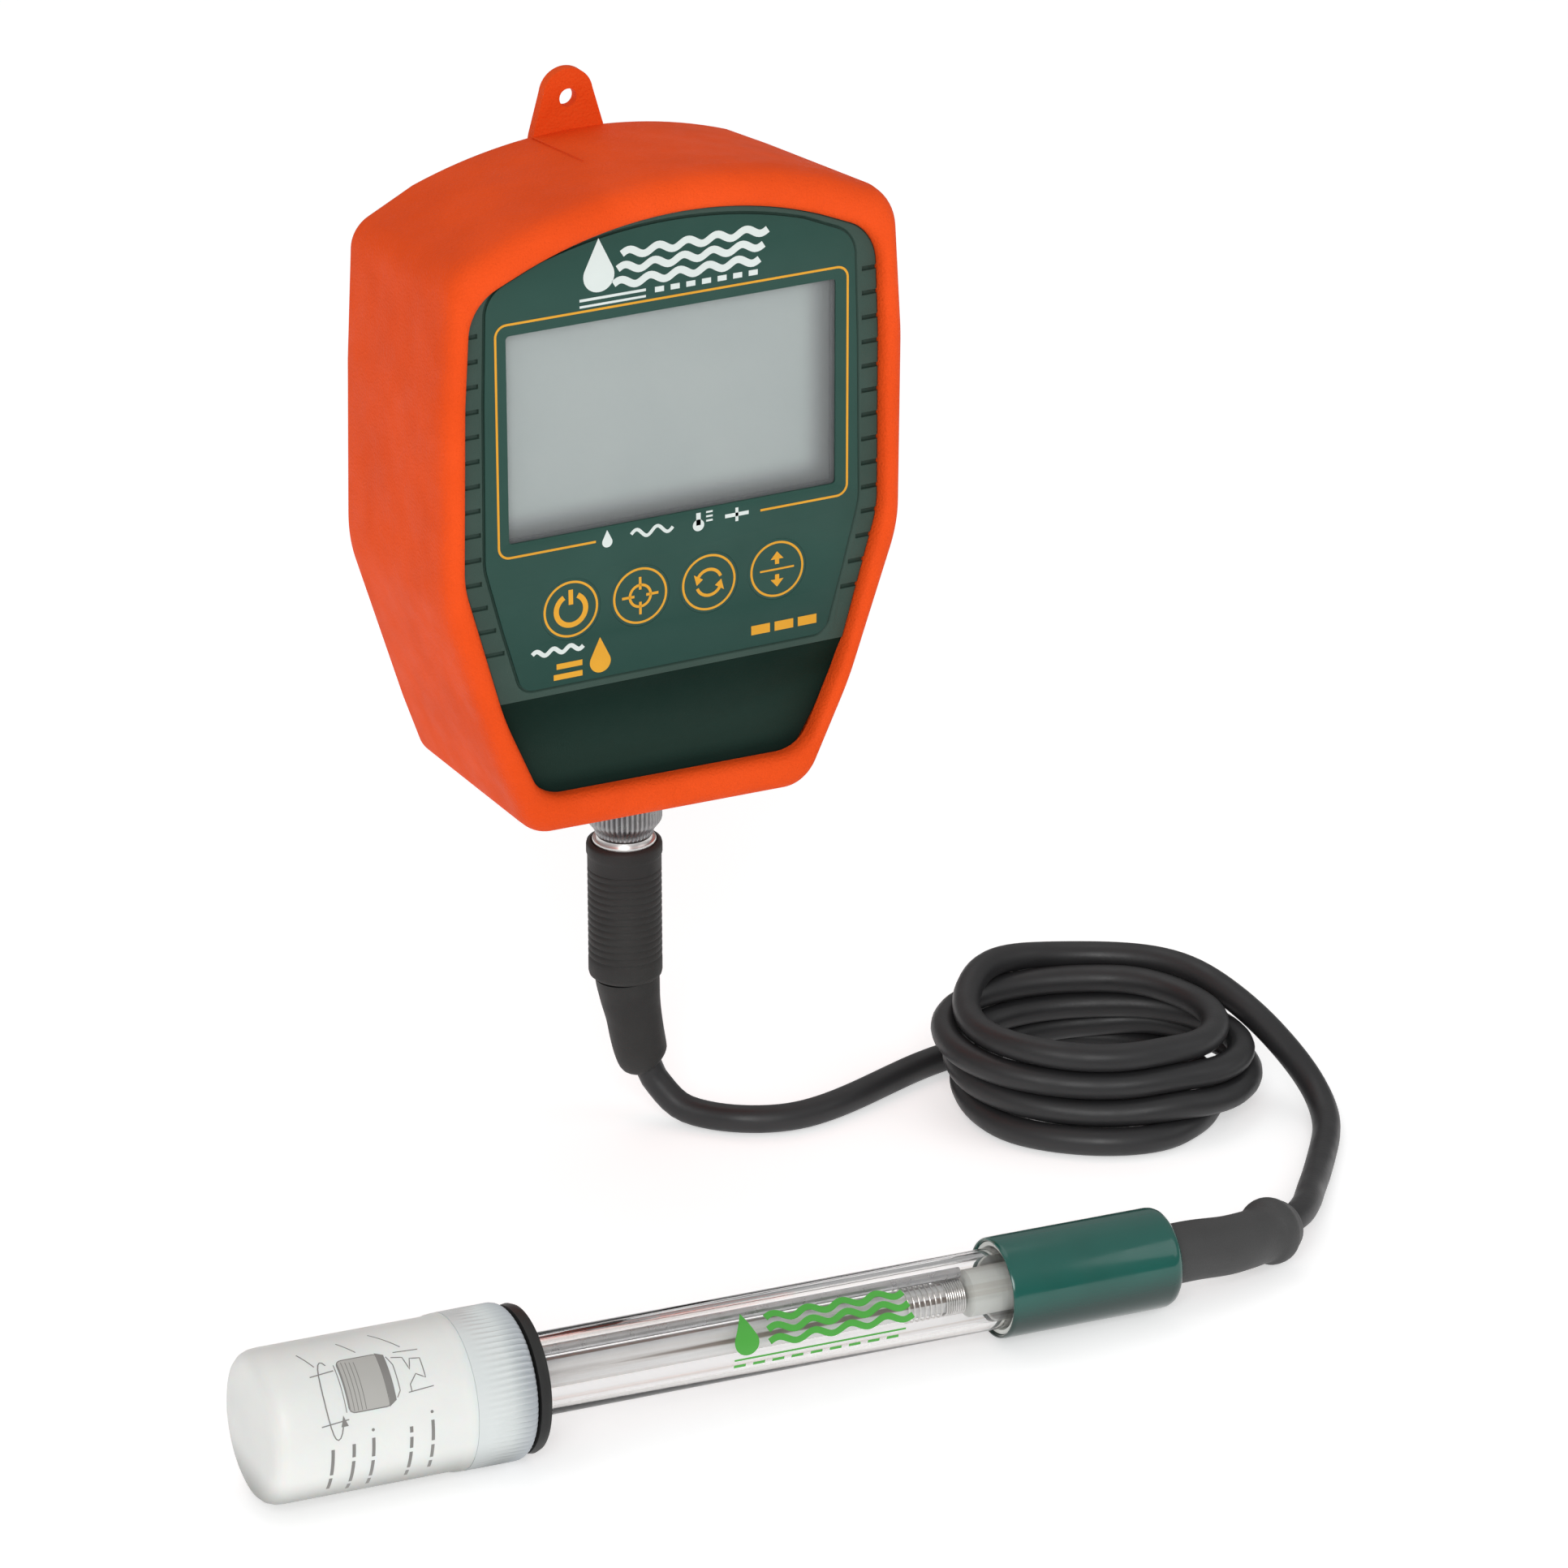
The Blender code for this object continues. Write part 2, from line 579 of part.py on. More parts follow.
def make_battery_door():
    """The cover over the batteries, its seal and its two screws lift off together."""
    centre = (0, -0.25 * MM, BATTERY_CENTRE_Z)
    door = box("battery_door", (57.2 * MM, 1.5 * MM, 27.6 * MM), centre, CASE_GREEN)
    seal = [rounded_box(45.8 * MM, 21.8 * MM, BATTERY_CENTRE_Z, 2 * MM),
            rounded_box(43.4 * MM, 19.4 * MM, BATTERY_CENTRE_Z, 1 * MM)]
    plate("battery_door_seal", seal, -2.6 * MM, -1.3 * MM, BLACK_RUBBER)
    for i, side in enumerate((-1, 1), start=1):
        x = side * DOOR_SCREW_X
        cut(door, rod(f"door_hole_{i}", 1.0 * MM, 6 * MM, (x, 0, BATTERY_CENTRE_Z),
                      turn=ALONG_Y, sides=12))
        cut(door, rod(f"door_sink_{i}", 2.1 * MM, 2 * MM, (x, 0.75 * MM, BATTERY_CENTRE_Z),
                      turn=ALONG_Y, sides=16))
        profile = [(0, 0.4), (1.8, 0.4), (1.8, 0.05), (0.6, 0.05), (0.6, -3.4), (0, -3.4)]
        turned(f"battery_door_screw_{i}", [(r * MM, y * MM) for r, y in profile], STEEL,
               steps=12, at=(x, 0, BATTERY_CENTRE_Z), turn=ALONG_Y)


# ---- socket and plug ---------------------------------------------------------------------------
PLUG_AXIS = (0, PLUG_Y, 0)
PIN_CIRCLE = 1.25 * MM
PIN_COUNT = 4


def make_socket():
    profile = [(3.2, -95), (6.0, -95), (6.0, -99.7), (4.0, -99.7), (4.0, -110.0), (3.2, -110.0)]
    turned("socket_shell", [(r * MM, z * MM) for r, z in profile], NICKEL, closed=True,
           at=PLUG_AXIS)
    ring("socket_nut", 5.0 * MM, 7.0 * MM, -103.7 * MM, -102.1 * MM, NICKEL, steps=6,
         at=PLUG_AXIS)
    ring("socket_seal", 4.3 * MM, 5.5 * MM, -104.9 * MM, -104.0 * MM, BLACK_RUBBER,
         at=PLUG_AXIS)
    insert = rod("socket_insert", 2.9 * MM, 10.5 * MM, (0, PLUG_Y, -101.25 * MM), CHIP_BLACK)
    for i, (x, y) in enumerate(pin_places()):
        cut(insert, rod(f"pin_bore_{i}", 0.7 * MM, 10 * MM, (x, y, -107.0 * MM), sides=10))


def pin_places():
    """Where the pins stand, around the plug's axis."""
    angles = [math.radians(45 + 360 * i / PIN_COUNT) for i in range(PIN_COUNT)]
    return [(PIN_CIRCLE * math.cos(a), PLUG_Y + PIN_CIRCLE * math.sin(a)) for a in angles]


def make_plug():
    nut = [(4.3, -105.2), (5.5, -105.2), (5.85, -105.6), (5.85, -114.4), (4.5, -115.4),
           (3.3, -115.4), (3.3, -111.6), (4.3, -111.6)]
    turned("coupling_nut", [(r * MM, z * MM) for r, z in nut], NICKEL, closed=True, at=PLUG_AXIS)
    barrel = [(2.3, -110.3), (4.0, -110.3), (4.0, -111.3), (3.0, -111.3), (3.0, -116.2),
              (4.5, -115.7), (4.95, -115.9), (4.95, -117.0), (2.3, -117.0)]
    turned("plug_barrel", [(r * MM, z * MM) for r, z in barrel], NICKEL, closed=True,
           at=PLUG_AXIS)
    insert = rod("plug_insert", 2.0 * MM, 10.1 * MM, (0, PLUG_Y, -111.85 * MM), CHIP_BLACK)
    for i, (x, y) in enumerate(pin_places()):
        join(insert, rod(f"pin_{i}", 0.4 * MM, 5 * MM, (x, y, -105.0 * MM), sides=8))
    grip = [(0, -117.3), (5.9, -117.3), (6.0, -117.7), (6.0, -118.6), (5.8, -119.0),
            (5.85, -138.8), (5.5, -139.5), (0, -139.5)]
    turned("plug_grip", [(r * MM, z * MM) for r, z in grip], BLACK_RUBBER, at=PLUG_AXIS)
    bend = [(0, 0, -139.8), (0.05, 0, -143.6), (0.4, 0, -147.4), (1.0, 0, -151.0),
            (1.9, -0.1, -154.2), (2.9, -0.2, -156.6), (3.3, -0.25, -157.4)]
    points = [(x * MM, PLUG_Y + y * MM, z * MM) for x, y, z in bend]
    tube("plug_strain_relief", points, 5.2 * MM, BLACK_RUBBER,
         radii=[1, 0.99, 0.94, 0.89, 0.84, 0.81, 0.7], resolution=3)


# ---- cable ----------------------------------------------------------------------------------------
# From the plug's strain relief down to the table and along it to the coil.
METER_EXIT = Vector((0.44, -0.06, -0.89)).normalized()
METER_LEAD = [
    (3.97, -18.1, -159.1), (4.9, -19.3, -160.2), (7.0, -21.9, -162.6), (10.2, -25.2, -163.7),
    (15.0, -29.4, -163.75), (21.2, -31.9, -163.75), (28.3, -31.9, -163.75),
    (35.5, -30.0, -163.75), (42.5, -27.4, -163.75), (49.2, -25.0, -163.75)]
# From the top of the coil down to the table and round to the electrode's strain relief.
PROBE_EXIT = Vector((0.86, 0.5, -0.09)).normalized()
PROBE_LEAD = [
    (96.0, -54.4, -153.1), (97.4, -58.1, -155.7), (98.9, -61.6, -158.6), (99.6, -65.2, -161.2),
    (98.9, -69.2, -163.1), (96.6, -73.3, -163.7), (93.1, -78.0, -163.75), (89.2, -83.0, -163.75),
    (85.3, -88.0, -163.4), (81.3, -93.0, -162.7), (77.4, -98.0, -161.8), (73.9, -101.6, -161.1),
    (70.6, -103.85, -160.7)]
COIL_CENTRE = Vector((68.9 * MM, -44.4 * MM, TABLE_Z))
COIL_TURN = math.radians(-27)
COIL_HALF_LENGTH = 23.7 * MM  # to the middle of the bundle of turns
COIL_HALF_WIDTH = 19.7 * MM
COIL_BUNDLE = 2.3 * MM  # half the bundle's width
COIL_HEIGHT = 19.2 * MM


def make_cable():
    spacing, stub = 2 * CABLE_DIAMETER, 1.2 * MM
    lead = [Vector(p) * MM for p in METER_LEAD]
    points = [lead[0] - METER_EXIT * stub, *smooth_line(lead, spacing)]
    tube("cable_meter_lead", points, CABLE_DIAMETER / 2, CABLE_BLACK)
    lead = [Vector(p) * MM for p in PROBE_LEAD]
    points = [*smooth_line(lead, spacing), lead[-1] - PROBE_EXIT * stub]
    tube("cable_probe_lead", points, CABLE_DIAMETER / 2, CABLE_BLACK)
    make_coil()


def make_coil():
    """The outer shape of the coiled cable: an oval ring with its edges rounded off."""
    across, up, edge = COIL_BUNDLE, COIL_HEIGHT, 1.6 * MM
    section = [(across, edge), (across, up - edge), (across - edge, up), (edge - across, up),
               (-across, up - edge), (-across, edge), (edge - across, 0), (across - edge, 0)]
    around = 32
    shape = bmesh.new()
    loops = []
    for i in range(around):
        angle = 2 * math.pi * i / around
        loops.append([
            shape.verts.new(((COIL_HALF_LENGTH + r) * math.cos(angle),
                             (COIL_HALF_WIDTH + r) * math.sin(angle), z)) for r, z in section])
    for i, near in enumerate(loops):
        far = loops[(i + 1) % around]
        for j in range(len(section)):
            k = (j + 1) % len(section)
            shape.faces.new((near[j], near[k], far[k], far[j]))
    place("cable_coil", as_mesh("cable_coil", shape), CABLE_BLACK, at=COIL_CENTRE,
          turn=(0, 0, COIL_TURN))


# ---- electrode ---------------------------------------------------------------------------------------
def probe_frame():
    """An empty on the electrode's axis, its +Z towards the cable."""
    along = Vector((math.cos(PROBE_YAW) * math.cos(PROBE_TILT),
                    math.sin(PROBE_YAW) * math.cos(PROBE_TILT), math.sin(PROBE_TILT)))
    frame = bpy.data.objects.new("probe_axis", None)
    frame.location = PROBE_ORIGIN
    frame.rotation_euler = along.to_track_quat("Z", "Y").to_euler()
    PARTS.objects.link(frame)
    return frame


def scaled(profile):
    return [(r * MM, s * MM) for r, s in profile]


def make_electrode(axis):
    body = ring("probe_tube", 5.0 * MM, 6.1 * MM, -93.5 * MM, 24 * MM, CLEAR_PLASTIC, parent=axis)
    for i in range(2):
        cut(body, box(f"tip_slot_{i}", (4 * MM, 16 * MM, 8 * MM), (0, 0, -93.5 * MM), parent=axis,
                      turn=(0, 0, math.radians(90 * i))))
    ring("reference_junction", 2.6 * MM, 4.7 * MM, -89 * MM, -86.5 * MM, CREAM, parent=axis)
    ring("inner_stem", 1.7 * MM, 2.3 * MM, -88.3 * MM, 11.2 * MM, CLEAR_GLASS, steps=20,
         parent=axis)
    bulb = [(0, -88.6), (1.1, -88.6), (1.9, -89.3), (2.25, -90.4), (1.9, -91.5), (1.1, -92.2),
            (0, -92.4)]
    turned("glass_bulb", scaled(bulb), CLEAR_GLASS, steps=20, parent=axis)
    rod("temperature_sensor", 0.75 * MM, 96.2 * MM, (0, 3.65 * MM, -37.2 * MM), STEEL, sides=12,
        parent=axis)
    turns, per_turn = 9, 8
    points = []
    for i in range(turns * per_turn + 1):
        angle = 2 * math.pi * i / per_turn
        points.append((1.15 * MM * math.cos(angle), 1.15 * MM * math.sin(angle),
                       (1.0 + 9.6 * i / (turns * per_turn)) * MM))
    tube("reference_wire", points, 0.2 * MM, SILVER_WIRE, resolution=1, parent=axis)
    rod("potting_plug", 4.7 * MM, 12.3 * MM, (0, 0, 17.65 * MM), CREAM, parent=axis)
    ring("sleeve_bush", 6.4 * MM, 6.8 * MM, 17.4 * MM, 25.6 * MM, CREAM, parent=axis)
    sleeve = [(7.1, 16.9), (7.4, 16.7), (7.6, 17.0), (7.65, 44.4), (7.3, 45.2), (6.6, 45.5),
              (4.9, 45.5), (4.9, 31.0), (3.4, 31.0), (3.4, 26.2), (7.1, 26.2)]
    turned("probe_sleeve", scaled(reversed(sleeve)), SLEEVE_TEAL, closed=True, parent=axis)
    make_probe_boot()


def along_probe(distance):
    """The world place of a point on the electrode's axis."""
    along = Vector((math.cos(PROBE_YAW) * math.cos(PROBE_TILT),
                    math.sin(PROBE_YAW) * math.cos(PROBE_TILT), math.sin(PROBE_TILT)))
    return PROBE_ORIGIN + along * distance


def make_probe_boot():
    """The electrode's strain relief: it bends towards the back and ends in a thick collar."""
    straight = [along_probe(s * MM) for s in (31.5, 38, 45, 50)]
    bent = [Vector(p) * MM for p in (
        (55.5, -108.9, -159.1), (59.6, -108.3, -159.4), (62.4, -107.6, -159.7),
        (63.6, -107.2, -159.8), (65.1, -106.65, -159.95), (66.6, -106.0, -160.1),
        (67.8, -105.4, -160.25), (68.9, -104.8, -160.35))]
    radii = [4.6, 4.6, 4.6, 4.6, 4.5, 4.4, 4.35, 4.8, 5.15, 5.1, 4.7, 3.9]
    tube("probe_strain_relief", straight + bent, 1 * MM, BLACK_RUBBER, radii=radii, resolution=3)


# ---- storage bottle ------------------------------------------------------------------------------------
def make_bottle(axis):
    bottle = [(8.1, -63.6), (9.6, -63.6), (9.6, -70.8), (11.2, -71.0), (11.5, -71.6),
              (11.4, -99.6), (10.9, -100.9), (9.8, -101.5), (0, -101.5)]
    inside = [(0, -99.7), (9.2, -99.7), (9.7, -99.0), (9.8, -72.0), (8.1, -70.6)]
    turned("storage_bottle", scaled(inside + bottle), MILKY, steps=32, parent=axis)
    locking = [(6.5, -61.2), (10.9, -61.2), (11.65, -62.2), (11.65, -70.6), (9.9, -70.6),
               (9.9, -63.2), (6.5, -63.2)]
    turned("locking_ring", scaled(locking), MILKY, steps=32, closed=True, parent=axis)
    seal = [(6.4, -59.4), (10.4, -59.4), (10.9, -59.9), (10.9, -60.9), (6.4, -60.9)]
    turned("bottle_seal", scaled(seal), BLACK_RUBBER, steps=32, closed=True, parent=axis)


def main():
    make_boot()
    make_front_case()
    make_rear_case()
    make_case_seal()
    make_case_screws()
    make_faceplate()
    make_keys()
    make_switches()
    make_display()
    make_board()
    make_batteries()
    make_battery_door()
    make_socket()
    make_plug()
    make_cable()
    axis = probe_frame()
    make_electrode(axis)
    make_bottle(axis)


main()
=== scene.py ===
"""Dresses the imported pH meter: camera, cable, detailed pieces, materials and light.

Lengths are in millimetres until a shape becomes a mesh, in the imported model's own frame: X to the
right of someone facing the display, Y away from them, and Z up from the hanging hole.
"""

import math
from math import radians

import bmesh
import bpy
import numpy as np
from mathutils import Matrix, Vector


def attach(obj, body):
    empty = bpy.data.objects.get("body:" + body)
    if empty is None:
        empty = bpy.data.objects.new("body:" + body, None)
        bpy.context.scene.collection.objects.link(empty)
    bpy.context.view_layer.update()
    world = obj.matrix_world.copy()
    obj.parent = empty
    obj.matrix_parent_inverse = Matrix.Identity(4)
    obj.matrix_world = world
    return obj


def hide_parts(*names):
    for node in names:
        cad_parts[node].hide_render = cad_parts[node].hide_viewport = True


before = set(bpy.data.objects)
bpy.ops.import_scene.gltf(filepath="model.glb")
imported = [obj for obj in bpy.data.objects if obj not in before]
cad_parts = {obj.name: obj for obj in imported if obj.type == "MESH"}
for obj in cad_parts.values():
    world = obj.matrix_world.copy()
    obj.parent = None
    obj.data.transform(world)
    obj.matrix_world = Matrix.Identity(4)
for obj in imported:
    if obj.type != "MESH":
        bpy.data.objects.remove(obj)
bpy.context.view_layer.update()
MM = 0.001
TABLE_Z = -166.0
FILM_Y, CASE_Y = -36.1, -35.95  # the fronts of the printed film and of the case behind it
DISPLAY_Z = -38.8
KEY_X = {"power": -17.4, "calibrate": -5.8, "mode": 5.8, "store": 17.4}
KEY_Z = -67.5
DOOR_Z, DOOR_SCREWS = -58, (-25.6, 25.6)
PLUG_Y = -17.7


def link(thing):
    bpy.context.scene.collection.objects.link(thing)


def shader_of(made):
    return made.node_tree.nodes["Principled BSDF"]


def finish(name, colour, roughness, metallic=0.0, **sockets):
    """A material whose colour, roughness and relief can then be varied over the surface."""
    made = bpy.data.materials.new(name)
    made.use_nodes = True
    shader = shader_of(made)
    shader.inputs["Base Color"].default_value = (*colour, 1)
    shader.inputs["Roughness"].default_value = roughness
    shader.inputs["Metallic"].default_value = metallic
    for socket, value in sockets.items():
        shader.inputs[socket.replace("_", " ")].default_value = value
    return made


def add(made, kind, **values):
    node = made.node_tree.nodes.new(kind)
    for key, value in values.items():
        if key in node.inputs:
            socket = node.inputs[key]
        else:
            setattr(node, key, value)
            continue
        if isinstance(value, bpy.types.NodeSocket):
            made.node_tree.links.new(value, socket)
        else:
            socket.default_value = value
    return node


def place_of(made, stretch=(1, 1, 1)):
    """The point on the piece in millimetres, stretched for a pattern that runs one way."""
    where = add(made, "ShaderNodeTexCoord").outputs["Object"]
    scale = tuple(s / MM for s in stretch)
    return add(made, "ShaderNodeMapping", Vector=where, Scale=scale).outputs[0]


def noise(made, size, detail=3.0, stretch=(1, 1, 1)):
    where = place_of(made, stretch)
    return add(made, "ShaderNodeTexNoise", Vector=where, Scale=1 / size, Detail=detail)


def tint(made, other, size, low=0.35, high=0.65, detail=3.0, stretch=(1, 1, 1)):
    """Mixes a second colour in, in patches of a size."""
    base = shader_of(made).inputs["Base Color"]
    ramp = add(made, "ShaderNodeValToRGB", Fac=noise(made, size, detail, stretch).outputs[0])
    first, second = ramp.color_ramp.elements
    first.position, second.position = low, high
    first.color, second.color = base.default_value, (*other, 1)
    made.node_tree.links.new(ramp.outputs[0], base)
    return made


def vary(made, low, high, size, stretch=(1, 1, 1)):
    """Lets the roughness wander between two values."""
    span = add(made, "ShaderNodeMapRange", Value=noise(made, size, 2, stretch).outputs[0],
               **{"From Min": 0.3, "From Max": 0.7, "To Min": low, "To Max": high})
    made.node_tree.links.new(span.outputs[0], shader_of(made).inputs["Roughness"])
    return made


def grain(made, size, depth, detail=2.0, stretch=(1, 1, 1)):
    """Adds relief of a size and a depth."""
    shader = shader_of(made)
    height = noise(made, size, detail, stretch).outputs[0]
    bump = add(made, "ShaderNodeBump", Height=height, Distance=depth * MM, Strength=1.0)
    before = shader.inputs["Normal"].links
    if before:
        made.node_tree.links.new(before[0].from_socket, bump.inputs["Normal"])
    made.node_tree.links.new(bump.outputs[0], shader.inputs["Normal"])
    return made


def paint_light_and_shade(made, way, low, high, colour):
    """Paints light and shade: turns the base colour toward another along a direction, between two
    distances.
    """
    base = shader_of(made).inputs["Base Color"]
    along = add(made, "ShaderNodeVectorMath", operation="DOT_PRODUCT")
    made.node_tree.links.new(place_of(made), along.inputs[0])
    along.inputs[1].default_value = tuple(way)
    share = add(made, "ShaderNodeMapRange", interpolation_type="SMOOTHSTEP",
                Value=along.outputs["Value"], **{"From Min": low, "From Max": high})
    mix = add(made, "ShaderNodeMix", data_type="RGBA")
    made.node_tree.links.new(share.outputs[0], mix.inputs[0])
    made.node_tree.links.new(base.links[0].from_socket, mix.inputs[6])
    mix.inputs[7].default_value = (*colour, 1)
    made.node_tree.links.new(mix.outputs[2], base)


def moulded(name, colour, roughness, other, grain_size, grain_depth, shine=0.5, **sockets):
    made = finish(name, colour, roughness, Specular_IOR_Level=shine, **sockets)
    tint(made, other, 14)
    vary(made, roughness - 0.07, roughness + 0.07, 5)
    return grain(made, grain_size, grain_depth)


ORANGE = moulded("boot_rubber", (0.85, 0.083, 0.010), 0.66, (0.78, 0.073, 0.008), 0.40, 0.18,
                 shine=0.10)
grain(ORANGE, 3.0, 0.05)
CASE = moulded("case_plastic", (0.036, 0.070, 0.056), 0.5, (0.031, 0.062, 0.049), 0.3, 0.03,
               shine=0.25)
# The lower panel is the case plastic with painted shade: a darker copy for faces that tilt
# downward, with painted light toward the bottom of its recess.
PANEL_SHADED = moulded("panel_shaded_plastic", (0.0028, 0.018, 0.0125), 0.55, (0.0022, 0.016, 0.011), 0.3, 0.02,
                shine=0.1)
paint_light_and_shade(PANEL_SHADED, (0, 0, -1), 82, 97, (0.018, 0.043, 0.034))
FILM = moulded("face_film", (0.021, 0.070, 0.055), 0.45, (0.019, 0.064, 0.050), 0.16, 0.01,
               shine=0.22)
# Painted shade: the film turns darker toward its bottom.
paint_light_and_shade(FILM, (0, 0, -1), 62, 80, (0.012, 0.053, 0.041))
KEY_FILM = moulded("key_film", (0.021, 0.070, 0.055), 0.42, (0.019, 0.064, 0.050), 0.16, 0.01,
                   shine=0.22)
YELLOW = moulded("yellow_ink", (0.76, 0.37, 0.030), 0.5, (0.70, 0.33, 0.025), 0.1, 0.004,
                 shine=0.2)
WHITE = moulded("white_ink", (0.70, 0.76, 0.735), 0.5, (0.65, 0.715, 0.69), 0.1, 0.004,
                shine=0.2)
DISPLAY = moulded("display_polariser", (0.333, 0.374, 0.366), 0.5, (0.318, 0.360, 0.354), 0.12,
                  0.003, shine=0.25)
BEZEL = moulded("bezel_plastic", (0.10, 0.105, 0.11), 0.5, (0.08, 0.085, 0.09), 0.3, 0.02)
CABLE = moulded("cable_jacket", (0.021, 0.021, 0.022), 0.46, (0.017, 0.017, 0.018), 0.5, 0.02,
                shine=0.42)
GRIP = moulded("grip_rubber", (0.024, 0.0235, 0.022), 0.62, (0.019, 0.0185, 0.018), 0.25, 0.05,
               shine=0.35)
SEAL = moulded("seal_rubber", (0.016, 0.016, 0.016), 0.5, (0.022, 0.022, 0.021), 0.3, 0.02,
               shine=0.3)
TEAL = moulded("sleeve_plastic", (0.004, 0.092, 0.072), 0.17, (0.003, 0.080, 0.062), 1.2, 0.004,
               Coat_Weight=0.25, Coat_Roughness=0.1)
CREAM = moulded("potting_resin", (0.82, 0.84, 0.80), 0.4, (0.76, 0.78, 0.73), 0.6, 0.03)
MILK = moulded("milky_plastic", (0.77, 0.775, 0.75), 0.4, (0.73, 0.74, 0.72), 0.8, 0.02,
               Subsurface_Weight=0.2, Subsurface_Scale=0.003, shine=0.35)
RIBBED = moulded("ribbed_milky_plastic", (0.66, 0.69, 0.685), 0.4, (0.62, 0.66, 0.655), 0.8,
                 0.02, shine=0.35)
CABLE_BOOT = moulded("cable_boot_rubber", (0.055, 0.055, 0.055), 0.55, (0.046, 0.046, 0.046), 0.25,
                0.05, shine=0.35)
LABEL = moulded("label_ink", (0.19, 0.185, 0.175), 0.5, (0.24, 0.23, 0.22), 0.1, 0.004)
SHADE = moulded("label_tint", (0.43, 0.425, 0.40), 0.5, (0.40, 0.39, 0.37), 0.1, 0.004)
GREEN = moulded("green_ink", (0.085, 0.40, 0.065), 0.4, (0.075, 0.36, 0.055), 0.1, 0.004,
                shine=0.25)
BOARD = moulded("solder_mask", (0.02, 0.16, 0.07), 0.4, (0.015, 0.13, 0.055), 0.5, 0.01)
CHIP = moulded("chip_resin", (0.02, 0.02, 0.022), 0.5, (0.028, 0.028, 0.03), 0.2, 0.01)
WRAP = moulded("battery_wrap", (0.05, 0.06, 0.09), 0.35, (0.04, 0.05, 0.08), 0.3, 0.004)
NICKEL = finish("nickel_plate", (0.38, 0.38, 0.38), 0.32, 1.0)
vary(tint(grain(NICKEL, 0.5, 0.012), (0.30, 0.30, 0.31), 2.5), 0.24, 0.42, 1.5)
STEEL = finish("steel", (0.60, 0.60, 0.61), 0.3, 1.0)
vary(tint(grain(STEEL, 0.25, 0.008), (0.50, 0.50, 0.51), 3), 0.24, 0.4, 1)
SILVER = finish("silver_wire", (0.82, 0.81, 0.80), 0.34, 1.0)
tint(grain(SILVER, 0.4, 0.006), (0.68, 0.67, 0.65), 2)
CLEAR = finish("clear_tube", (1.0, 1.0, 1.0), 0.0, IOR=1.49, Transmission_Weight=1.0)
grain(CLEAR, 9, 0.01, 1, (1, 1, 0.12))
tint(CLEAR, (0.84, 0.80, 0.77), 1.5, 0.57, 0.62, 1, (1, 1, 0.005))
WINDOW = finish("display_window", (0.9, 0.94, 0.94), 0.08, Alpha=0.06)
grain(WINDOW, 12, 0.004, 1)
STEM = finish("stem_glass", (0.95, 0.95, 0.95), 0.2, 0.1)
tint(STEM, (0.36, 0.31, 0.28), 1.3, 0.52, 0.58, 1, (1, 1, 0.008))
vary(STEM, 0.08, 0.3, 2, (1, 1, 0.02))


def piece(name, mesh, made, body="meter", cad=None, slot=None, at=None, sharp=38):
    """Adds a mesh that rides on a body, in place of one CAD part."""
    thing = bpy.data.objects.new(name, mesh)
    link(thing)
    if at is not None:
        thing.matrix_world = at
    mesh.materials.clear()
    for one in made if isinstance(made, list) else [made]:
        mesh.materials.append(one)
    mesh.shade_smooth()
    mesh.set_sharp_from_angle(angle=radians(sharp))
    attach(thing, body)
    if cad:
        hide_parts(cad)
    return thing


def mesh_of(name, points, faces):
    """Millimetre points and faces as a closed mesh that faces out."""
    shape = bmesh.new()
    corners = [shape.verts.new(Vector(p) * MM) for p in points]
    for face in faces:
        shape.faces.new([corners[i] for i in face])
    return mesh_from(name, shape)


def mesh_from(name, shape):
    bmesh.ops.recalc_face_normals(shape, faces=shape.faces)
    mesh = bpy.data.meshes.new(name)
    shape.to_mesh(mesh)
    shape.free()
    return mesh


def settled(mesh, *modifiers):
    """The mesh after its modifiers, each given as (kind, settings)."""
    thing = bpy.data.objects.new("settling", mesh)
    link(thing)
    helpers = []
    for kind, settings in modifiers:
        step = thing.modifiers.new(kind, kind)
        for key, value in settings.items():
            if key == "cutter":
                helpers.append(bpy.data.objects.new("cutter", value))
                link(helpers[-1])
                key, value = "object", helpers[-1]
            setattr(step, key, value)
    bpy.context.view_layer.update()
    seen = thing.evaluated_get(bpy.context.evaluated_depsgraph_get())
    made = bpy.data.meshes.new_from_object(seen)
    for extra in (thing, *helpers):
        bpy.data.objects.remove(extra, do_unlink=True)
    return made


def without(mesh, *cutters):
    cuts = [("BOOLEAN", {"operation": "DIFFERENCE", "solver": "EXACT", "cutter": c})
            for c in cutters]
    return settled(mesh, *cuts)


def rounded(mesh, width, segments=3, angle=40):
    return settled(mesh, ("BEVEL", {"width": width * MM, "segments": segments,
                                    "limit_method": "ANGLE", "angle_limit": radians(angle)}))


def block(size, at, turn=None):
    shape = bmesh.new()
    bmesh.ops.create_cube(shape, size=1.0)
    bmesh.ops.scale(shape, vec=Vector(size) * MM, verts=shape.verts)
    move = Matrix.Translation(Vector(at) * MM)
    bmesh.ops.transform(shape, matrix=move @ turn if turn else move, verts=shape.verts)
    return mesh_from("block", shape)


def drum(radius, length, at, sides=48, along="Y"):
    shape = bmesh.new()
    turn = Matrix.Rotation(radians(90), 4, "X") if along == "Y" else Matrix()
    bmesh.ops.create_cone(shape, cap_ends=True, segments=sides, radius1=radius * MM,
                          radius2=radius * MM, depth=length * MM,
                          matrix=Matrix.Translation(Vector(at) * MM) @ turn)
    return mesh_from("drum", shape)


def together(name, meshes):
    shape = bmesh.new()
    for mesh in meshes:
        shape.from_mesh(mesh)
    return mesh_from(name, shape)


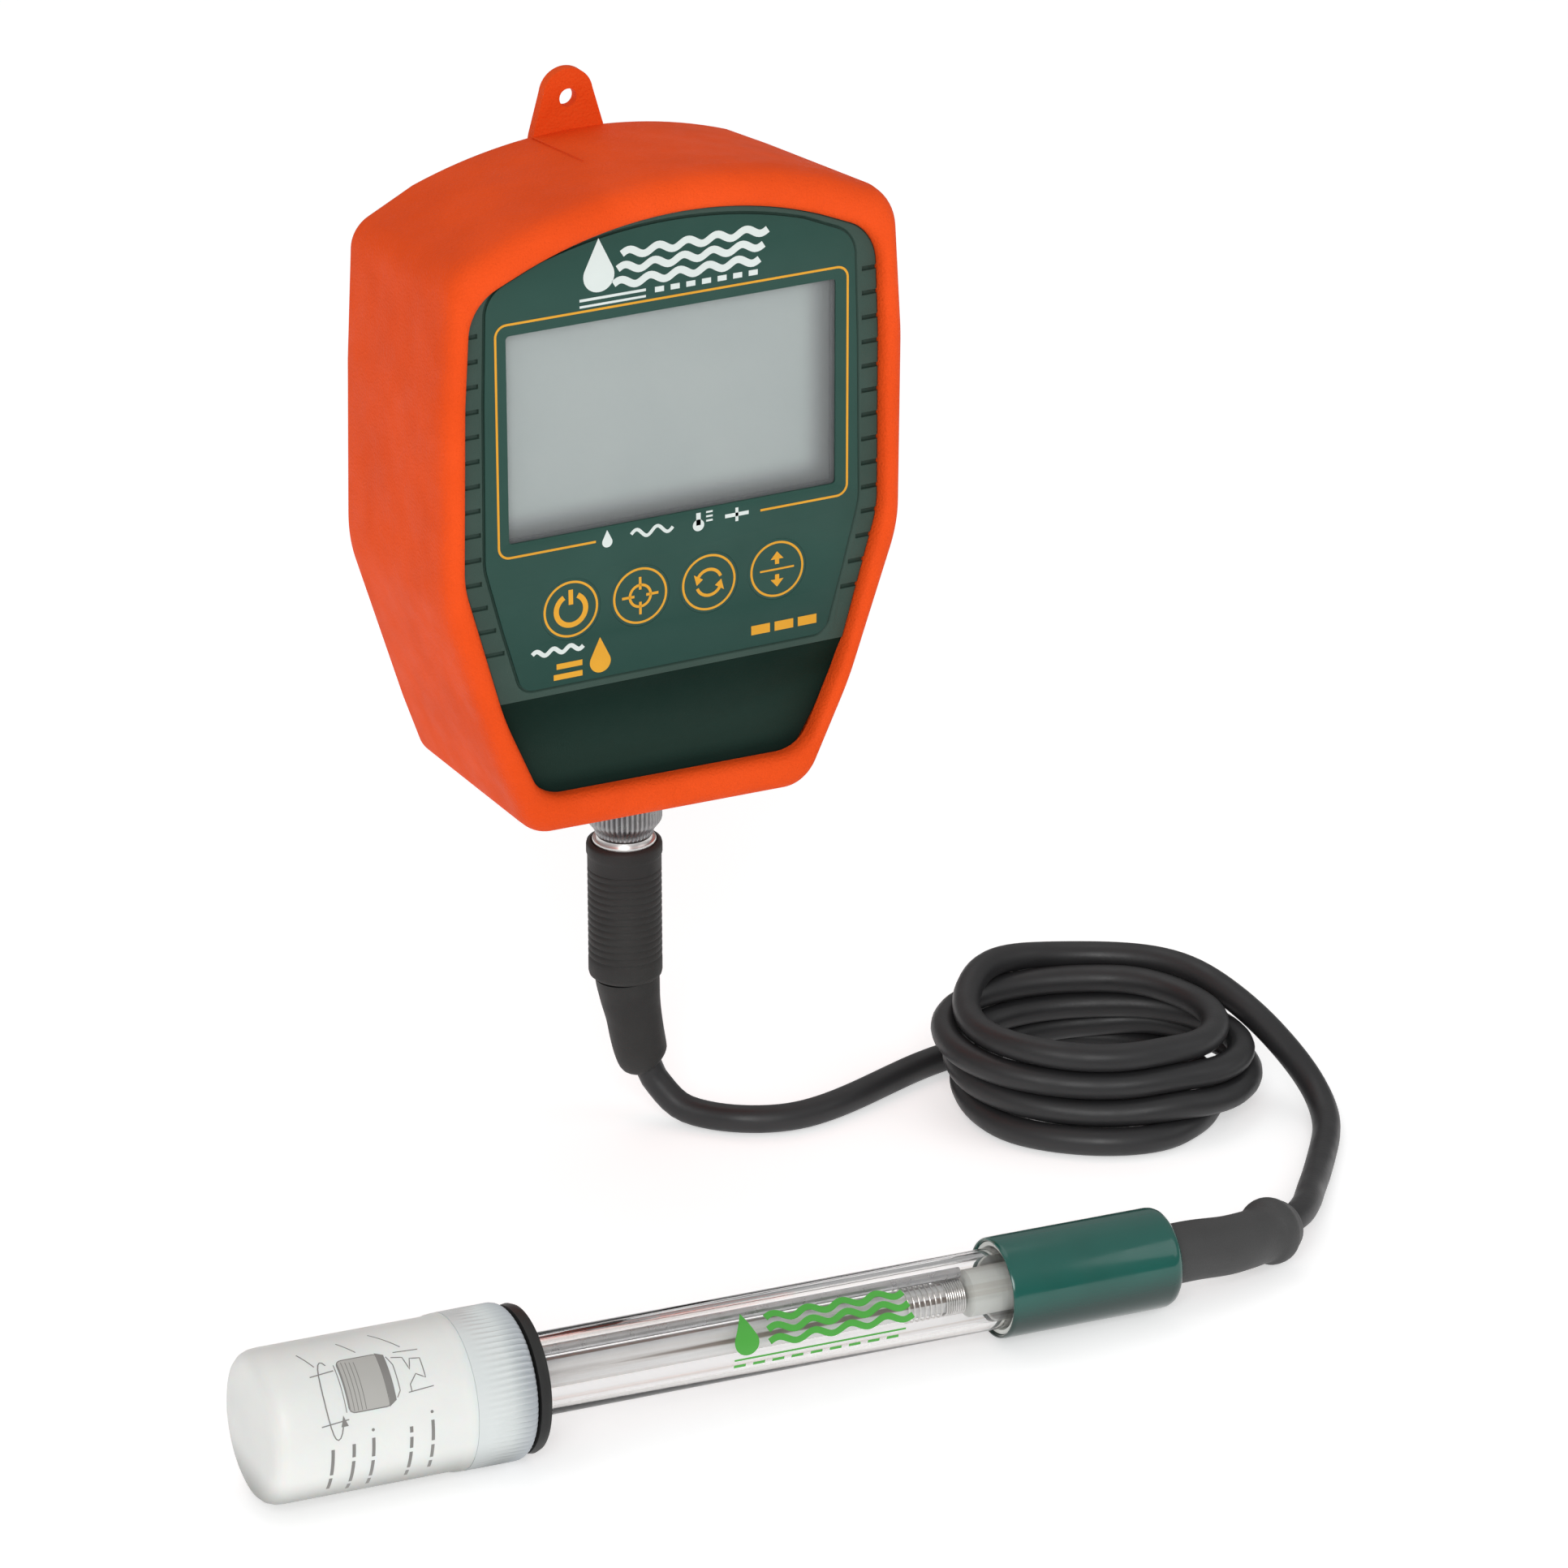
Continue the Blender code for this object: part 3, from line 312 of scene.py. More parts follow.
def loft(name, rings, closed=False):
    """Closed rings of the same number of points, capped at both ends unless they form a loop."""
    count, points, faces = len(rings[0]), [], []
    for ring in rings:
        points += ring
    pairs = list(zip(range(len(rings)), range(1, len(rings))))
    if closed:
        pairs.append((len(rings) - 1, 0))
    for a, b in pairs:
        for i in range(count):
            j = (i + 1) % count
            faces.append((a * count + i, a * count + j, b * count + j, b * count + i))
    if not closed:
        faces += [tuple(range(count)), tuple(range(len(points) - count, len(points)))]
    return mesh_of(name, points, faces)


def turned(name, profile, steps=64, closed=False, flutes=0, pointed=False):
    """Turns (radius, height, flute depth) points about Z. A radius of 0 closes the end."""
    rings = []
    for radius, height, *depth in profile:
        if radius == 0:
            radius = 0.001
        ring = []
        for i in range(steps):
            angle = 2 * math.pi * i / steps
            wave = 0.5 + 0.5 * math.cos(flutes * angle)
            r = radius - (depth[0] * (wave if pointed else wave**2) if depth else 0)
            ring.append((r * math.cos(angle), r * math.sin(angle), height))
        rings.append(ring)
    return loft(name, rings, closed)


def smooth_points(points, spacing):
    """A smooth curve through the points, read at even distances, as an array."""
    ends = np.array(points, float)
    path = np.vstack([2 * ends[0] - ends[1], ends, 2 * ends[-1] - ends[-2]])
    steps = np.linspace(0, 1, 16, endpoint=False)[:, None]
    fine = []
    for a, b, c, d in zip(path, path[1:], path[2:], path[3:]):
        fine.append(0.5 * (2 * b + (c - a) * steps + (2 * a - 5 * b + 4 * c - d) * steps**2
                           + (3 * b - a - 3 * c + d) * steps**3))
    fine = np.vstack([*fine, ends[-1:]])
    return evenly(fine, spacing)


def evenly(line, spacing):
    run = np.concatenate([[0], np.cumsum(np.linalg.norm(np.diff(line, axis=0), axis=1))])
    reads = np.linspace(0, run[-1], max(2, int(round(run[-1] / spacing)) + 1))
    return np.stack([np.interp(reads, run, line[:, k]) for k in range(line.shape[1])], axis=1)


def swept(name, stations, sides=40):
    """A round solid along (x, y, z, radius) stations, with flat ends."""
    line = smooth_points(stations, 0.5)
    side = Vector((0, 1, 0.2))
    rings = []
    for i, station in enumerate(line):
        near, far = line[max(i - 1, 0)], line[min(i + 1, len(line) - 1)]
        along = Vector(far[:3] - near[:3]).normalized()
        side = (side - along * side.dot(along)).normalized()
        across = along.cross(side)
        ring = []
        for k in range(sides):
            angle = 2 * math.pi * k / sides
            turn = side * math.cos(angle) + across * math.sin(angle)
            ring.append(Vector(station[:3]) + turn * float(station[3]))
        rings.append(ring)
    return loft(name, rings)


# ---- outlines on the meter's face ----
class Outline:
    """An arched top, then corners (x, z, fillet radius) down the right side, mirrored."""

    def __init__(self, top, arch, corners):
        self.top, self.arch, self.corners = top, arch, corners

    def path(self):
        reach = 0.72 * self.corners[0][0]
        return [self.on_arch(reach), *[Vector(c[:2]) for c in self.corners],
                Vector((0, self.corners[-1][1]))]

    def on_arch(self, x):
        return Vector((x, self.top - self.arch + math.sqrt(self.arch**2 - x**2)))

    def inset(self, distance):
        path, corners = self.path(), []
        for i, corner in enumerate(self.corners, start=1):
            before = (path[i] - path[i - 1]).normalized()
            after = (path[i + 1] - path[i]).normalized()
            inward = Vector((before.y + after.y, -before.x - after.x)) / (1 + before.dot(after))
            moved = path[i] + inward * distance
            corners.append((moved.x, moved.y, max(corner[2] - distance, 1)))
        return Outline(self.top - distance, self.arch - distance, corners)

    def toward(self, other, share):
        def mix(a, b):
            return a + (b - a) * share

        corners = [tuple(mix(a, b) for a, b in zip(*pair)) for pair in
                   zip(self.corners, other.corners)]
        return Outline(mix(self.top, other.top), mix(self.arch, other.arch), corners)

    def loop(self, arch_steps=14, steps=10, straight=3):
        path = self.path()
        right = [self.on_arch(path[0].x * i / arch_steps) for i in range(arch_steps + 1)]
        for i, corner in enumerate(self.corners, start=1):
            arc = fillet(path[i - 1], path[i], path[i + 1], corner[2], steps)
            last = right[-1]
            right += [last.lerp(arc[0], k / straight) for k in range(1, straight)]
            right += arc
        left = [Vector((-p.x, p.y)) for p in reversed(right[1:])]
        return [(p.x, p.y) for p in right + left]


def fillet(before, corner, after, radius, steps):
    come, leave = (corner - before).normalized(), (after - corner).normalized()
    turn = math.acos(max(-1.0, min(1.0, come.dot(leave))))
    reach = radius * math.tan(turn / 2)
    side = 1 if come.cross(leave) > 0 else -1
    centre = corner - come * reach + Vector((-come.y, come.x)) * radius * side
    start = corner - come * reach - centre
    arc = []
    for i in range(steps + 1):
        angle = side * turn * i / steps
        cos, sin = math.cos(angle), math.sin(angle)
        arc.append(centre + Vector((start.x * cos - start.y * sin, start.x * sin + start.y * cos)))
    return arc


def round_box(width, height, cx, cz, radius, steps=6):
    corners = [Vector((cx + sx * width / 2, cz + sz * height / 2))
               for sx, sz in ((1, 1), (1, -1), (-1, -1), (-1, 1))]
    points = []
    for i, corner in enumerate(corners):
        points += fillet(corners[i - 1], corner, corners[(i + 1) % 4], radius, steps)
    return [(p.x, p.y) for p in points]


def circle(radius, cx=0.0, cz=0.0, sides=64, start=0.0, sweep=360.0):
    count = sides if sweep == 360 else sides + 1
    return [(cx + radius * math.cos(radians(start + sweep * i / sides)),
             cz + radius * math.sin(radians(start + sweep * i / sides)))
            for i in range(count)]


def plate(outlines, low_y, high_y):
    """A flat sheet between two depths. The first outline is its edge, and the rest are holes."""
    curve = bpy.data.curves.new("plate", "CURVE")
    curve.dimensions, curve.fill_mode = "2D", "BOTH"
    curve.extrude = (high_y - low_y) / 2 * MM
    for outline in outlines:
        spline = curve.splines.new("POLY")
        spline.points.add(len(outline) - 1)
        for point, (x, z) in zip(spline.points, outline):
            point.co = (x * MM, z * MM, 0, 1)
        spline.use_cyclic_u = True
    thing = bpy.data.objects.new("plate", curve)
    link(thing)
    seen = thing.evaluated_get(bpy.context.evaluated_depsgraph_get())
    shape = bmesh.new()
    shape.from_mesh(bpy.data.meshes.new_from_object(seen))
    bpy.data.objects.remove(thing, do_unlink=True)
    bmesh.ops.remove_doubles(shape, verts=shape.verts, dist=1e-7)
    stand = Matrix.Translation((0, (low_y + high_y) / 2 * MM, 0)) @ Matrix.Rotation(
        radians(90), 4, "X")
    bmesh.ops.transform(shape, matrix=stand, verts=shape.verts)
    return mesh_from("plate", shape)


BOOT_FRONT = Outline(-1.4, 79, [(36.9, -10.4, 6.5), (38.65, -32, 50), (38.65, -63.5, 26),
                                (30.8, -87.5, 60), (23.3, -104.1, 5.2)])
BOOT_BACK = Outline(-5.2, 79, [(36.5, -14.8, 5.5), (37.4, -36, 50), (37.75, -65.2, 24),
                               (28.4, -93.5, 60), (24.3, -104.6, 5)])
OPENING = Outline(-7.3, 66, [(33.8, -16.0, 8), (34.6, -32, 40), (34.95, -60.4, 18),
                             (28.5, -83.5, 50), (22.2, -98.0, 6)])
FACE = Outline(-8.6, 75, [(30.5, -15.6, 5), (31.0, -32, 50), (31.3, -58.5, 10),
                          (28.6, -69, 60), (25.6, -79.6, 2.5)])


def skirt(ring, amount=1.0):
    """Shifts the low end of the boot's outside to one side, where it has stretched."""
    return [(x - 0.75 * amount * min(1.0, max(0.0, (-62 - z) / 40)), y, z) for x, y, z in ring]


def boot_at(y):
    return BOOT_FRONT.toward(BOOT_BACK, (y + 38) / 39)


def at_depth(outline, y, settle=1.0):
    """An outline at a depth, where the soft boot sits a little askew on the meter."""
    return [(x + settle * 0.012 * (z + 50), y, z + settle * 0.0004 * x * (z + 50))
            for x, z in outline.loop()]


class Ink:
    """Strokes and patches of print, laid on a surface by a function of (across, up, lift)."""

    def __init__(self, lay, step=0.5):
        self.lay, self.step = lay, step
        self.points, self.faces = [], []

    def strip(self, lefts, rights, closed=False):
        first, count = len(self.points), len(lefts)
        for pair in zip(lefts, rights):
            self.points += [self.lay(x, z) for x, z in pair]
        for i in range(count if closed else count - 1):
            a, b = first + 2 * i, first + 2 * ((i + 1) % count)
            self.faces.append((a, a + 1, b + 1, b))

    def stroke(self, points, width, closed=False):
        line = np.array(list(points) + ([points[0]] if closed else []), float)
        pieces = [evenly(line[i:i + 2], self.step)[:-1] for i in range(len(line) - 1)
                  if np.linalg.norm(line[i + 1] - line[i]) > 1e-6]
        fine = np.vstack(pieces if closed else [*pieces, line[-1:]])
        count, lefts, rights = len(fine), [], []
        for i, point in enumerate(fine):
            near = fine[(i - 1) % count] if closed else fine[max(i - 1, 0)]
            far = fine[(i + 1) % count] if closed else fine[min(i + 1, count - 1)]
            along = (far - near) / max(np.linalg.norm(far - near), 1e-9)
            side = np.array([-along[1], along[0]]) * width / 2
            lefts.append(tuple(point + side))
            rights.append(tuple(point - side))
        self.strip(lefts, rights, closed)

    def patch(self, outline):
        """A filled shape that is seen whole from its own middle."""
        line = np.array([*outline, outline[0]], float)
        edge = np.vstack([evenly(line[i:i + 2], self.step)[:-1] for i in range(len(line) - 1)
                          if np.linalg.norm(line[i + 1] - line[i]) > 1e-6])
        middle = edge.mean(axis=0)
        count = 2 + int(np.linalg.norm(edge - middle, axis=1).max() / self.step)
        rings = [middle + (edge - middle) * (1 - 0.92 * i / count) for i in range(count + 1)]
        for outer, inner in zip(rings, rings[1:]):
            self.strip([tuple(p) for p in outer], [tuple(p) for p in inner], closed=True)
        first = len(self.points)
        self.points += [self.lay(*p) for p in rings[-1]]
        self.faces.append(tuple(range(first, first + len(edge))))

    def drop(self, cx, cz, radius):
        """A water drop, point up."""
        arc = circle(radius, cx, cz, 24, -210, 240)
        self.patch([*arc, (cx, cz + radius * 2.3)])

    def wave(self, left, right, z, rise, width, humps):
        count = 14 * humps
        line = [(left + (right - left) * i / count, z + rise * math.sin(2 * math.pi * i / 14))
                for i in range(count + 1)]
        self.stroke(line, width)

    def made(self, name, material, thickness=0.03, **where):
        mesh = mesh_of(name, self.points, self.faces)
        solid = ("SOLIDIFY", {"thickness": thickness * MM, "offset": 0.0})
        weld = ("WELD", {"merge_threshold": 1e-6})
        return piece(name, settled(mesh, weld, solid), material, **where)


def on_face(x, z):
    return (x, FILM_Y - 0.015, z)


# ---- camera, light and floor ----
def make_camera():
    azimuth, elevation = radians(-27.26), radians(24.05)
    back = Vector((math.sin(azimuth) * math.cos(elevation),
                   -math.cos(azimuth) * math.cos(elevation), math.sin(elevation)))
    data = bpy.data.cameras.new("camera")
    data.lens, data.sensor_width = 158.04, 36
    data.clip_start, data.clip_end = 0.05, 20
    camera = bpy.data.objects.new("camera", data)
    camera.location = Vector((-426.33, -899.67, 329.90)) * MM
    camera.rotation_mode = "QUATERNION"
    camera.rotation_quaternion = (-back).to_track_quat("-Z", "Y")
    link(camera)
    bpy.context.scene.camera = camera


def soft_light(name, at, target, size, power, colour=(1, 1, 1)):
    data = bpy.data.lights.new(name, "AREA")
    data.shape, data.size, data.energy, data.color = "DISK", size, power, colour
    light = bpy.data.objects.new(name, data)
    light.location = at
    aim = Vector(target) - Vector(at)
    light.rotation_mode = "QUATERNION"
    light.rotation_quaternion = aim.to_track_quat("-Z", "Y")
    link(light)


def make_studio():
    bpy.context.scene.view_settings.view_transform = "Standard"
    world = bpy.data.worlds.new("studio")
    bpy.context.scene.world = world
    world.use_nodes = True
    sky = world.node_tree.nodes["Background"]
    tree = world.node_tree
    where = tree.nodes.new("ShaderNodeTexCoord")
    split = tree.nodes.new("ShaderNodeSeparateXYZ")
    ramp = tree.nodes.new("ShaderNodeValToRGB")
    tree.links.new(where.outputs["Generated"], split.inputs[0])
    tree.links.new(split.outputs["Z"], ramp.inputs[0])
    tree.links.new(ramp.outputs[0], sky.inputs["Color"])
    low, high = ramp.color_ramp.elements
    low.position, high.position = 0.0, 0.75
    low.color, high.color = (0.42, 0.42, 0.42, 1), (1, 1, 1, 1)
    sky.inputs["Strength"].default_value = 0.58
    soft_light("key", (-0.60, -1.15, 0.55), (0, 0, -0.08), 0.7, 8.3)
    soft_light("fill", (0.9, -0.8, 0.5), (0, 0, -0.1), 0.8, 1.5)
    soft_light("top", (0.1, 0.35, 1.0), (0, -0.05, -0.12), 0.9, 1.5)
    floor = bpy.data.meshes.new("floor")
    reach = 6.0
    floor.from_pydata([(-reach, -reach, 0), (reach, -reach, 0), (reach, reach, 0),
                       (-reach, reach, 0)], [], [(0, 1, 2, 3)])
    ground = bpy.data.objects.new("floor", floor)
    ground.location.z = (TABLE_Z - 0.05) * MM
    paper = finish("studio_paper", (0.80, 0.80, 0.80), 0.9, Specular_IOR_Level=0.1,
                   Emission_Color=(1, 1, 1, 1), Emission_Strength=0.46)
    tint(paper, (0.79, 0.79, 0.79), 60)
    floor.materials.append(paper)
    link(ground)


CABLE_D = 4.5
EXIT = (3.47, -17.96, -155.9)
METER_LEAD = [
    (3.95, -18.25, -157.4), (4.65, -18.95, -159.2), (7.0, -21.9, -162.6), (10.2, -25.2, -163.7),
    (15.0, -29.4, -163.75), (21.2, -31.9, -163.75), (28.3, -31.9, -163.75),
    (35.5, -30.0, -163.75), (42.5, -27.4, -163.75), (49.2, -25.0, -163.75)]
PROBE_LEAD = [
    (95.6, -54.6, -154.7), (97.5, -58.2, -156.4), (98.9, -61.6, -158.6), (99.6, -65.2, -161.2),
    (98.9, -69.2, -163.1), (96.6, -73.3, -163.7), (93.1, -78.0, -163.75), (89.2, -83.0, -163.75),
    (85.3, -88.0, -163.4), (81.3, -93.0, -162.7), (77.4, -98.0, -161.8), (73.9, -101.6, -161.1),
    (70.6, -103.85, -160.6), (68.9, -104.8, -160.36)]
# Each turn of the coil: half length, half width, and its shift along and across.
TURNS = [(21.0, 19.6, -1.9, -1.65), (23.9, 17.1, 1.5, -1.05), (24.2, 15.6, 0.35, -1.2),
         (22.9, 15.1, -2.7, -0.8), (22.6, 17.0, 0.6, 1.2)]
TURN_HEIGHTS = [0.0, 4.2, 8.4, 12.4, 15.3]


def ease(x):
    x = min(1.0, max(0.0, x))
    return x * x * (3 - 2 * x)


def coil_points():
    """Four clockwise turns that climb on each other, seen from above."""
    along = np.array((math.cos(radians(-27)), math.sin(radians(-27)), 0))
    across = np.array((-along[1], along[0], 0))
    centre = np.array((70.4, -44.7, -163.75))
    points = []
    for step in range(0, 360 * 4 + 118 - 48 + 1, 10):
        place = step / 360
        share = ease((place - min(int(place), 4) - 0.35) / 0.5)
        here, after = TURNS[min(int(place), 4)], TURNS[min(int(place) + 1, 4)]
        a, b, du, dv = (p + (q - p) * share for p, q in zip(here, after))
        base = min(step // 360, 3)
        climb = ease((step - 360 * base - 200) / 150)
        height = TURN_HEIGHTS[base] + (TURN_HEIGHTS[base + 1] - TURN_HEIGHTS[base]) * climb
        angle = radians(118 - step)
        cos, sin = math.cos(angle), math.sin(angle)
        u = a * math.copysign(abs(cos) ** (2 / 2.25), cos) + du
        v = b * math.copysign(abs(sin) ** (2 / 2.25), sin) + dv
        points.append(centre + along * u + across * v + np.array((0, 0, height)))
    return points


def cable_line():
    """The whole route, with its turns eased apart to a diameter."""
    route = [EXIT, *METER_LEAD, (56.5, -23.4, -163.75), *coil_points(),
             (92.7, -45.3, -150.6), (93.9, -50.4, -152.9), *PROBE_LEAD]
    line = smooth_points(route, 1.5)
    count = len(line)
    order = np.arange(count)
    far_apart = np.abs(order[:, None] - order[None, :]) > 9
    held = np.minimum(order, count - 1 - order)
    loose = np.clip((held - 20) / 12, 0, 1)[:, None]
    for i in range(100):
        gaps = line[:, None, :] - line[None, :, :]
        reach = np.linalg.norm(gaps, axis=2)
        close = far_apart & (reach < 4.52)
        push = np.where(close, (4.52 - reach) / np.maximum(reach, 0.5), 0)[:, :, None] * gaps
        hits = np.maximum(close.sum(axis=1), 1)[:, None]
        moved = line + loose * 0.4 * push.sum(axis=1) / hits
        moved[:, 2] -= loose[:, 0] * (0.02 if i < 30 else 0)
        soft = moved.copy()
        soft[1:-1] = 0.5 * moved[1:-1] + 0.25 * (moved[:-2] + moved[2:])
        line = line + loose * (0.35 * soft + 0.65 * moved - line)
        line[:, 2] = np.where(loose[:, 0] > 0, np.maximum(line[:, 2], -163.75), line[:, 2])
    return evenly(line, 1.5)


def make_cable():
    line = cable_line()
    curve = bpy.data.curves.new("probe_cable", "CURVE")
    curve.dimensions = "3D"
    curve.bevel_depth = CABLE_D / 2 * MM
    curve.bevel_resolution = 6
    curve.use_fill_caps = True
    spline = curve.splines.new("POLY")
    spline.points.add(len(line) - 1)
    for point, place in zip(spline.points, line):
        point.co = (*(place * MM), 1)
    spline.use_smooth = True
    cable = bpy.data.objects.new("probe_cable", curve)
    curve.materials.append(CABLE)
    link(cable)
    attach(cable, "meter")
    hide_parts("cable_meter_lead", "cable_coil", "cable_probe_lead")


def make_boot():
    front = boot_at(-33.0)
    lip = smooth_points([(-33.0, 0.0), (-34.9, 0.02), (-36.2, 0.08), (-37.1, 0.19),
                         (-37.7, 0.34), (-37.98, 0.53), (-37.93, 0.72), (-37.6, 0.87),
                         (-37.0, 0.96), (-36.3, 1.0), (-35.0, 1.0)], 0.22)
    rings = []
    for i in range(7):
        angle = radians(90 * i / 6)
        y, inset = -0.8 + 1.8 * math.cos(angle), 1.6 * (1 - math.sin(angle))
        rings.append(skirt(at_depth(boot_at(y).inset(inset), y)))
    for y in (-9, -18, -27):
        rings.append(skirt(at_depth(boot_at(y), y)))
    for y, share in lip:
        rings.append(skirt(at_depth(front.toward(OPENING, share), y), 1 - share))
    for y, inset in ((-34.0, 2.5), (-3.2, 2.5), (-1.8, 3.1), (-1.0, 4.7)):
        rings.append(at_depth(boot_at(y).inset(inset), y))
    shell = without(loft("boot", rings), block((58, 8, 28.4), (0, 0, DOOR_Z)),
                    drum(7, 12, (0, PLUG_Y, -103.5), along="Z"))
    piece("boot_shell", shell, ORANGE, cad="rubber_boot", slot="orange_rubber",
          sharp=50)
    outline = [(-6.7, -9.0), (-5.95, -5.3)]
    outline += circle(4.15, 0, 0.5, 24, 171, -162)
    outline += [(5.95, -5.3), (6.7, -9.0)]
    tab = rounded(plate([outline, circle(1.45, sides=32)], -0.9, 0.9), 0.28)
    piece("boot_tab", tab, ORANGE, slot="orange_rubber", sharp=50)
    seam = []
    for i in range(13):
        y = -1.2 - 1.5 * i
        seam.append((-6.35, y, boot_at(y).on_arch(-6.35).y + 0.07, 0.12 - 0.005 * i))
    piece("boot_parting_line", swept("seam", seam, 8), ORANGE, slot="orange_rubber")


def make_front_case():
    rings = [at_depth(boot_at(-26).inset(2.8), -26.15), at_depth(boot_at(-33.6).inset(2.8), -33.6),
             at_depth(OPENING.inset(-0.25), -34.75), at_depth(OPENING.inset(0.05), -35.0),
             at_depth(OPENING.inset(0.05), -35.75), at_depth(OPENING.inset(0.25), CASE_Y),
             at_depth(FACE.inset(-0.45), CASE_Y, 0), at_depth(FACE.inset(-0.18), -35.62, 0)]
    hollow = loft("hollow", [at_depth(boot_at(-26).inset(4.6), -25),
                             at_depth(boot_at(-32).inset(4.6), -32),
                             at_depth(OPENING.inset(1.3), -33.1)])
    lean = Matrix.Rotation(radians(9.5), 4, "X")
    down = lean.to_3x3() @ Vector((0, -10, -22))
    slope = block((90, 20, 44), Vector((0, -35.55, -80.9)) + down, lean)
    inner = block((90, 20, 44), Vector((0, -33.1, -80.8)) + down, lean)
    hollow = without(hollow, inner)
    keys = [drum(5.05, 8, (x, -34, KEY_Z)) for x in KEY_X.values()]
    grooves = []
    for i in range(14):
        z = -21.5 - 3.93 * i
        for side in (-1, 1):
            x = 34.6 if z > -62 else 34.6 - 0.33 * (-62 - z)
            grooves.append(block((5.4, 1.3, 0.75), (side * x, -36.0, z)))
    mesh = without(loft("case", rings), slope, hollow, block((58.6, 8, 36.6), (0, -34, DISPLAY_Z)),
                   together("keys", keys), together("grooves", grooves))
    mesh = rounded(mesh, 0.16, 2, 50)
    case = piece("case_front", mesh, [CASE, PANEL_SHADED], cad="front_case",
                 slot="case_green")
    # Faces that tilt downward take the darker copy of the case plastic: painted shade.
    for face in case.data.polygons:
        if face.normal.z < -0.12 and face.normal.y < -0.8:
            face.material_index = 1


def make_face():
    holes = [round_box(54.8, 33.0, 0, DISPLAY_Z, 0.6)]
    holes += [circle(4.985, x, KEY_Z) for x in KEY_X.values()]
    film = rounded(plate([FACE.loop(), *holes], FILM_Y, -35.72), 0.06, 2)
    piece("face_film", film, FILM, cad="faceplate", slot="face_green")

    yellow = Ink(on_face)
    stops = [Vector(p) for p in ((14.6, -57.4), (29.4, -57.4), (29.4, -20.5), (-29.1, -20.5),
                                 (-29.1, -57.4), (-13.1, -57.4))]
    line = [tuple(stops[0])]
    for before, turn, after in zip(stops, stops[1:], stops[2:]):
        line += [tuple(p) for p in fillet(before, turn, after, 1.8, 8)]
    yellow.stroke([*line, tuple(stops[-1])], 0.36)
    for x in (13.0, 17.0, 21.0):
        yellow.stroke([(x, -76.9), (x + 3.2, -76.9)], 1.5)
    yellow.drop(-12.6, -77.0, 1.75)
    yellow.stroke([(-20.4, -78.2), (-15.6, -78.2)], 0.9)
    yellow.stroke([(-19.9, -76.5), (-15.6, -76.5)], 0.9)
    yellow.made("face_yellow_print", YELLOW)

    white = Ink(on_face)
    white.drop(-12.1, -15.3, 2.55)
    for i, z in enumerate((-12.5, -14.75, -17.0)):
        white.wave(-8.3 - 0.7 * i, 15.9 - 0.7 * i, z, 0.5, 1.15, 5)
    for z, width in ((-18.75, 0.42), (-19.75, 0.36)):
        white.stroke([(-15.3, z), (-4.4, z)], width)
    for i in range(7):
        white.stroke([(-2.9 + 2.6 * i, -19.0), (-1.4 + 2.6 * i, -19.0)], 0.85)
    white.wave(-23.9, -15.4, -73.8, 0.42, 0.7, 3)
    white.drop(-11.2, -57.8, 0.85)
    white.wave(-7.2, -0.2, -57.3, 0.62, 0.55, 2)
    white.patch(circle(0.95, 4.1, -57.9, 24))
    white.stroke([(4.1, -57.9), (4.1, -55.9)], 0.75)
    for i in range(3):
        white.stroke([(5.4, -56.0 - 0.7 * i), (6.5, -56.0 - 0.7 * i)], 0.3)
    white.stroke([(8.6, -57.3), (12.6, -57.3)], 0.6)
    white.stroke([(10.6, -56.2), (10.6, -58.4)], 0.5)
    white.made("face_white_print", WHITE)


def make_keys():
    dome = [(0, -36.16), (1.5, -36.155), (3.0, -36.14), (4.2, -36.115), (4.85, -36.1),
            (4.955, -36.06), (4.955, -35.74), (1.5, -35.7), (1.5, -32.7), (0, -32.7)]
    stand = Matrix.Rotation(radians(90), 4, "X")
    for name, x in KEY_X.items():
        at = Matrix.Translation((x * MM, 0, KEY_Z * MM)) @ stand
        mesh = turned("cap", [(r, -y) for r, y in dome], 64)
        piece(f"key_cap_{name}", mesh, KEY_FILM, body=f"key_{name}", at=at,
              cad=f"key_{name}", slot="key_green")

        def lay(u, v, x=x):
            lift = 0.06 * max(0.0, 1 - (u * u + v * v) / 20)
            return (x + u, FILM_Y - 0.012 - lift, KEY_Z + v)

        ink = Ink(lay, 0.3)
        ink.stroke(circle(4.36), 0.36, closed=True)
        draw_icon(ink, name)
        ink.made(f"key_print_{name}", YELLOW, body=f"key_{name}")


def draw_icon(ink, name):
    if name == "power":
        ink.stroke(circle(2.45, 0, -0.1, 40, 118, 304), 0.85)
        ink.stroke([(0, 0.75), (0, 3.15)], 0.75)
    elif name == "calibrate":
        ink.stroke(circle(1.75, 0, 0, 40), 0.42, closed=True)
        for x, z in ((1, 0), (-1, 0), (0, 1), (0, -1)):
            ink.stroke([(x * 1.0, z * 1.0), (x * 3.05, z * 3.05)], 0.42)
    elif name == "mode":
        for start in (20, 200):
            arc = circle(2.1, 0, 0, 24, start, 128)
            ink.stroke(arc, 0.5)
            end = radians(start + 128)
            tip = radians(start + 166)
            ink.patch([(2.1 * math.cos(tip), 2.1 * math.sin(tip)),
                       (1.2 * math.cos(end), 1.2 * math.sin(end)),
                       (2.1 * math.cos(end), 2.1 * math.sin(end)),
                       (3.0 * math.cos(end), 3.0 * math.sin(end))])
    else:
        ink.stroke([(-2.9, 0), (2.9, 0)], 0.3)
        ink.stroke([(0, 0.85), (0, 1.7)], 0.7)
        ink.patch([(-1.1, 1.65), (0, 2.9), (1.1, 1.65), (0, 1.65)])
        ink.stroke([(0, -0.85), (0, -1.7)], 0.7)
        ink.patch([(1.1, -1.65), (0, -2.9), (-1.1, -1.65), (0, -1.65)])


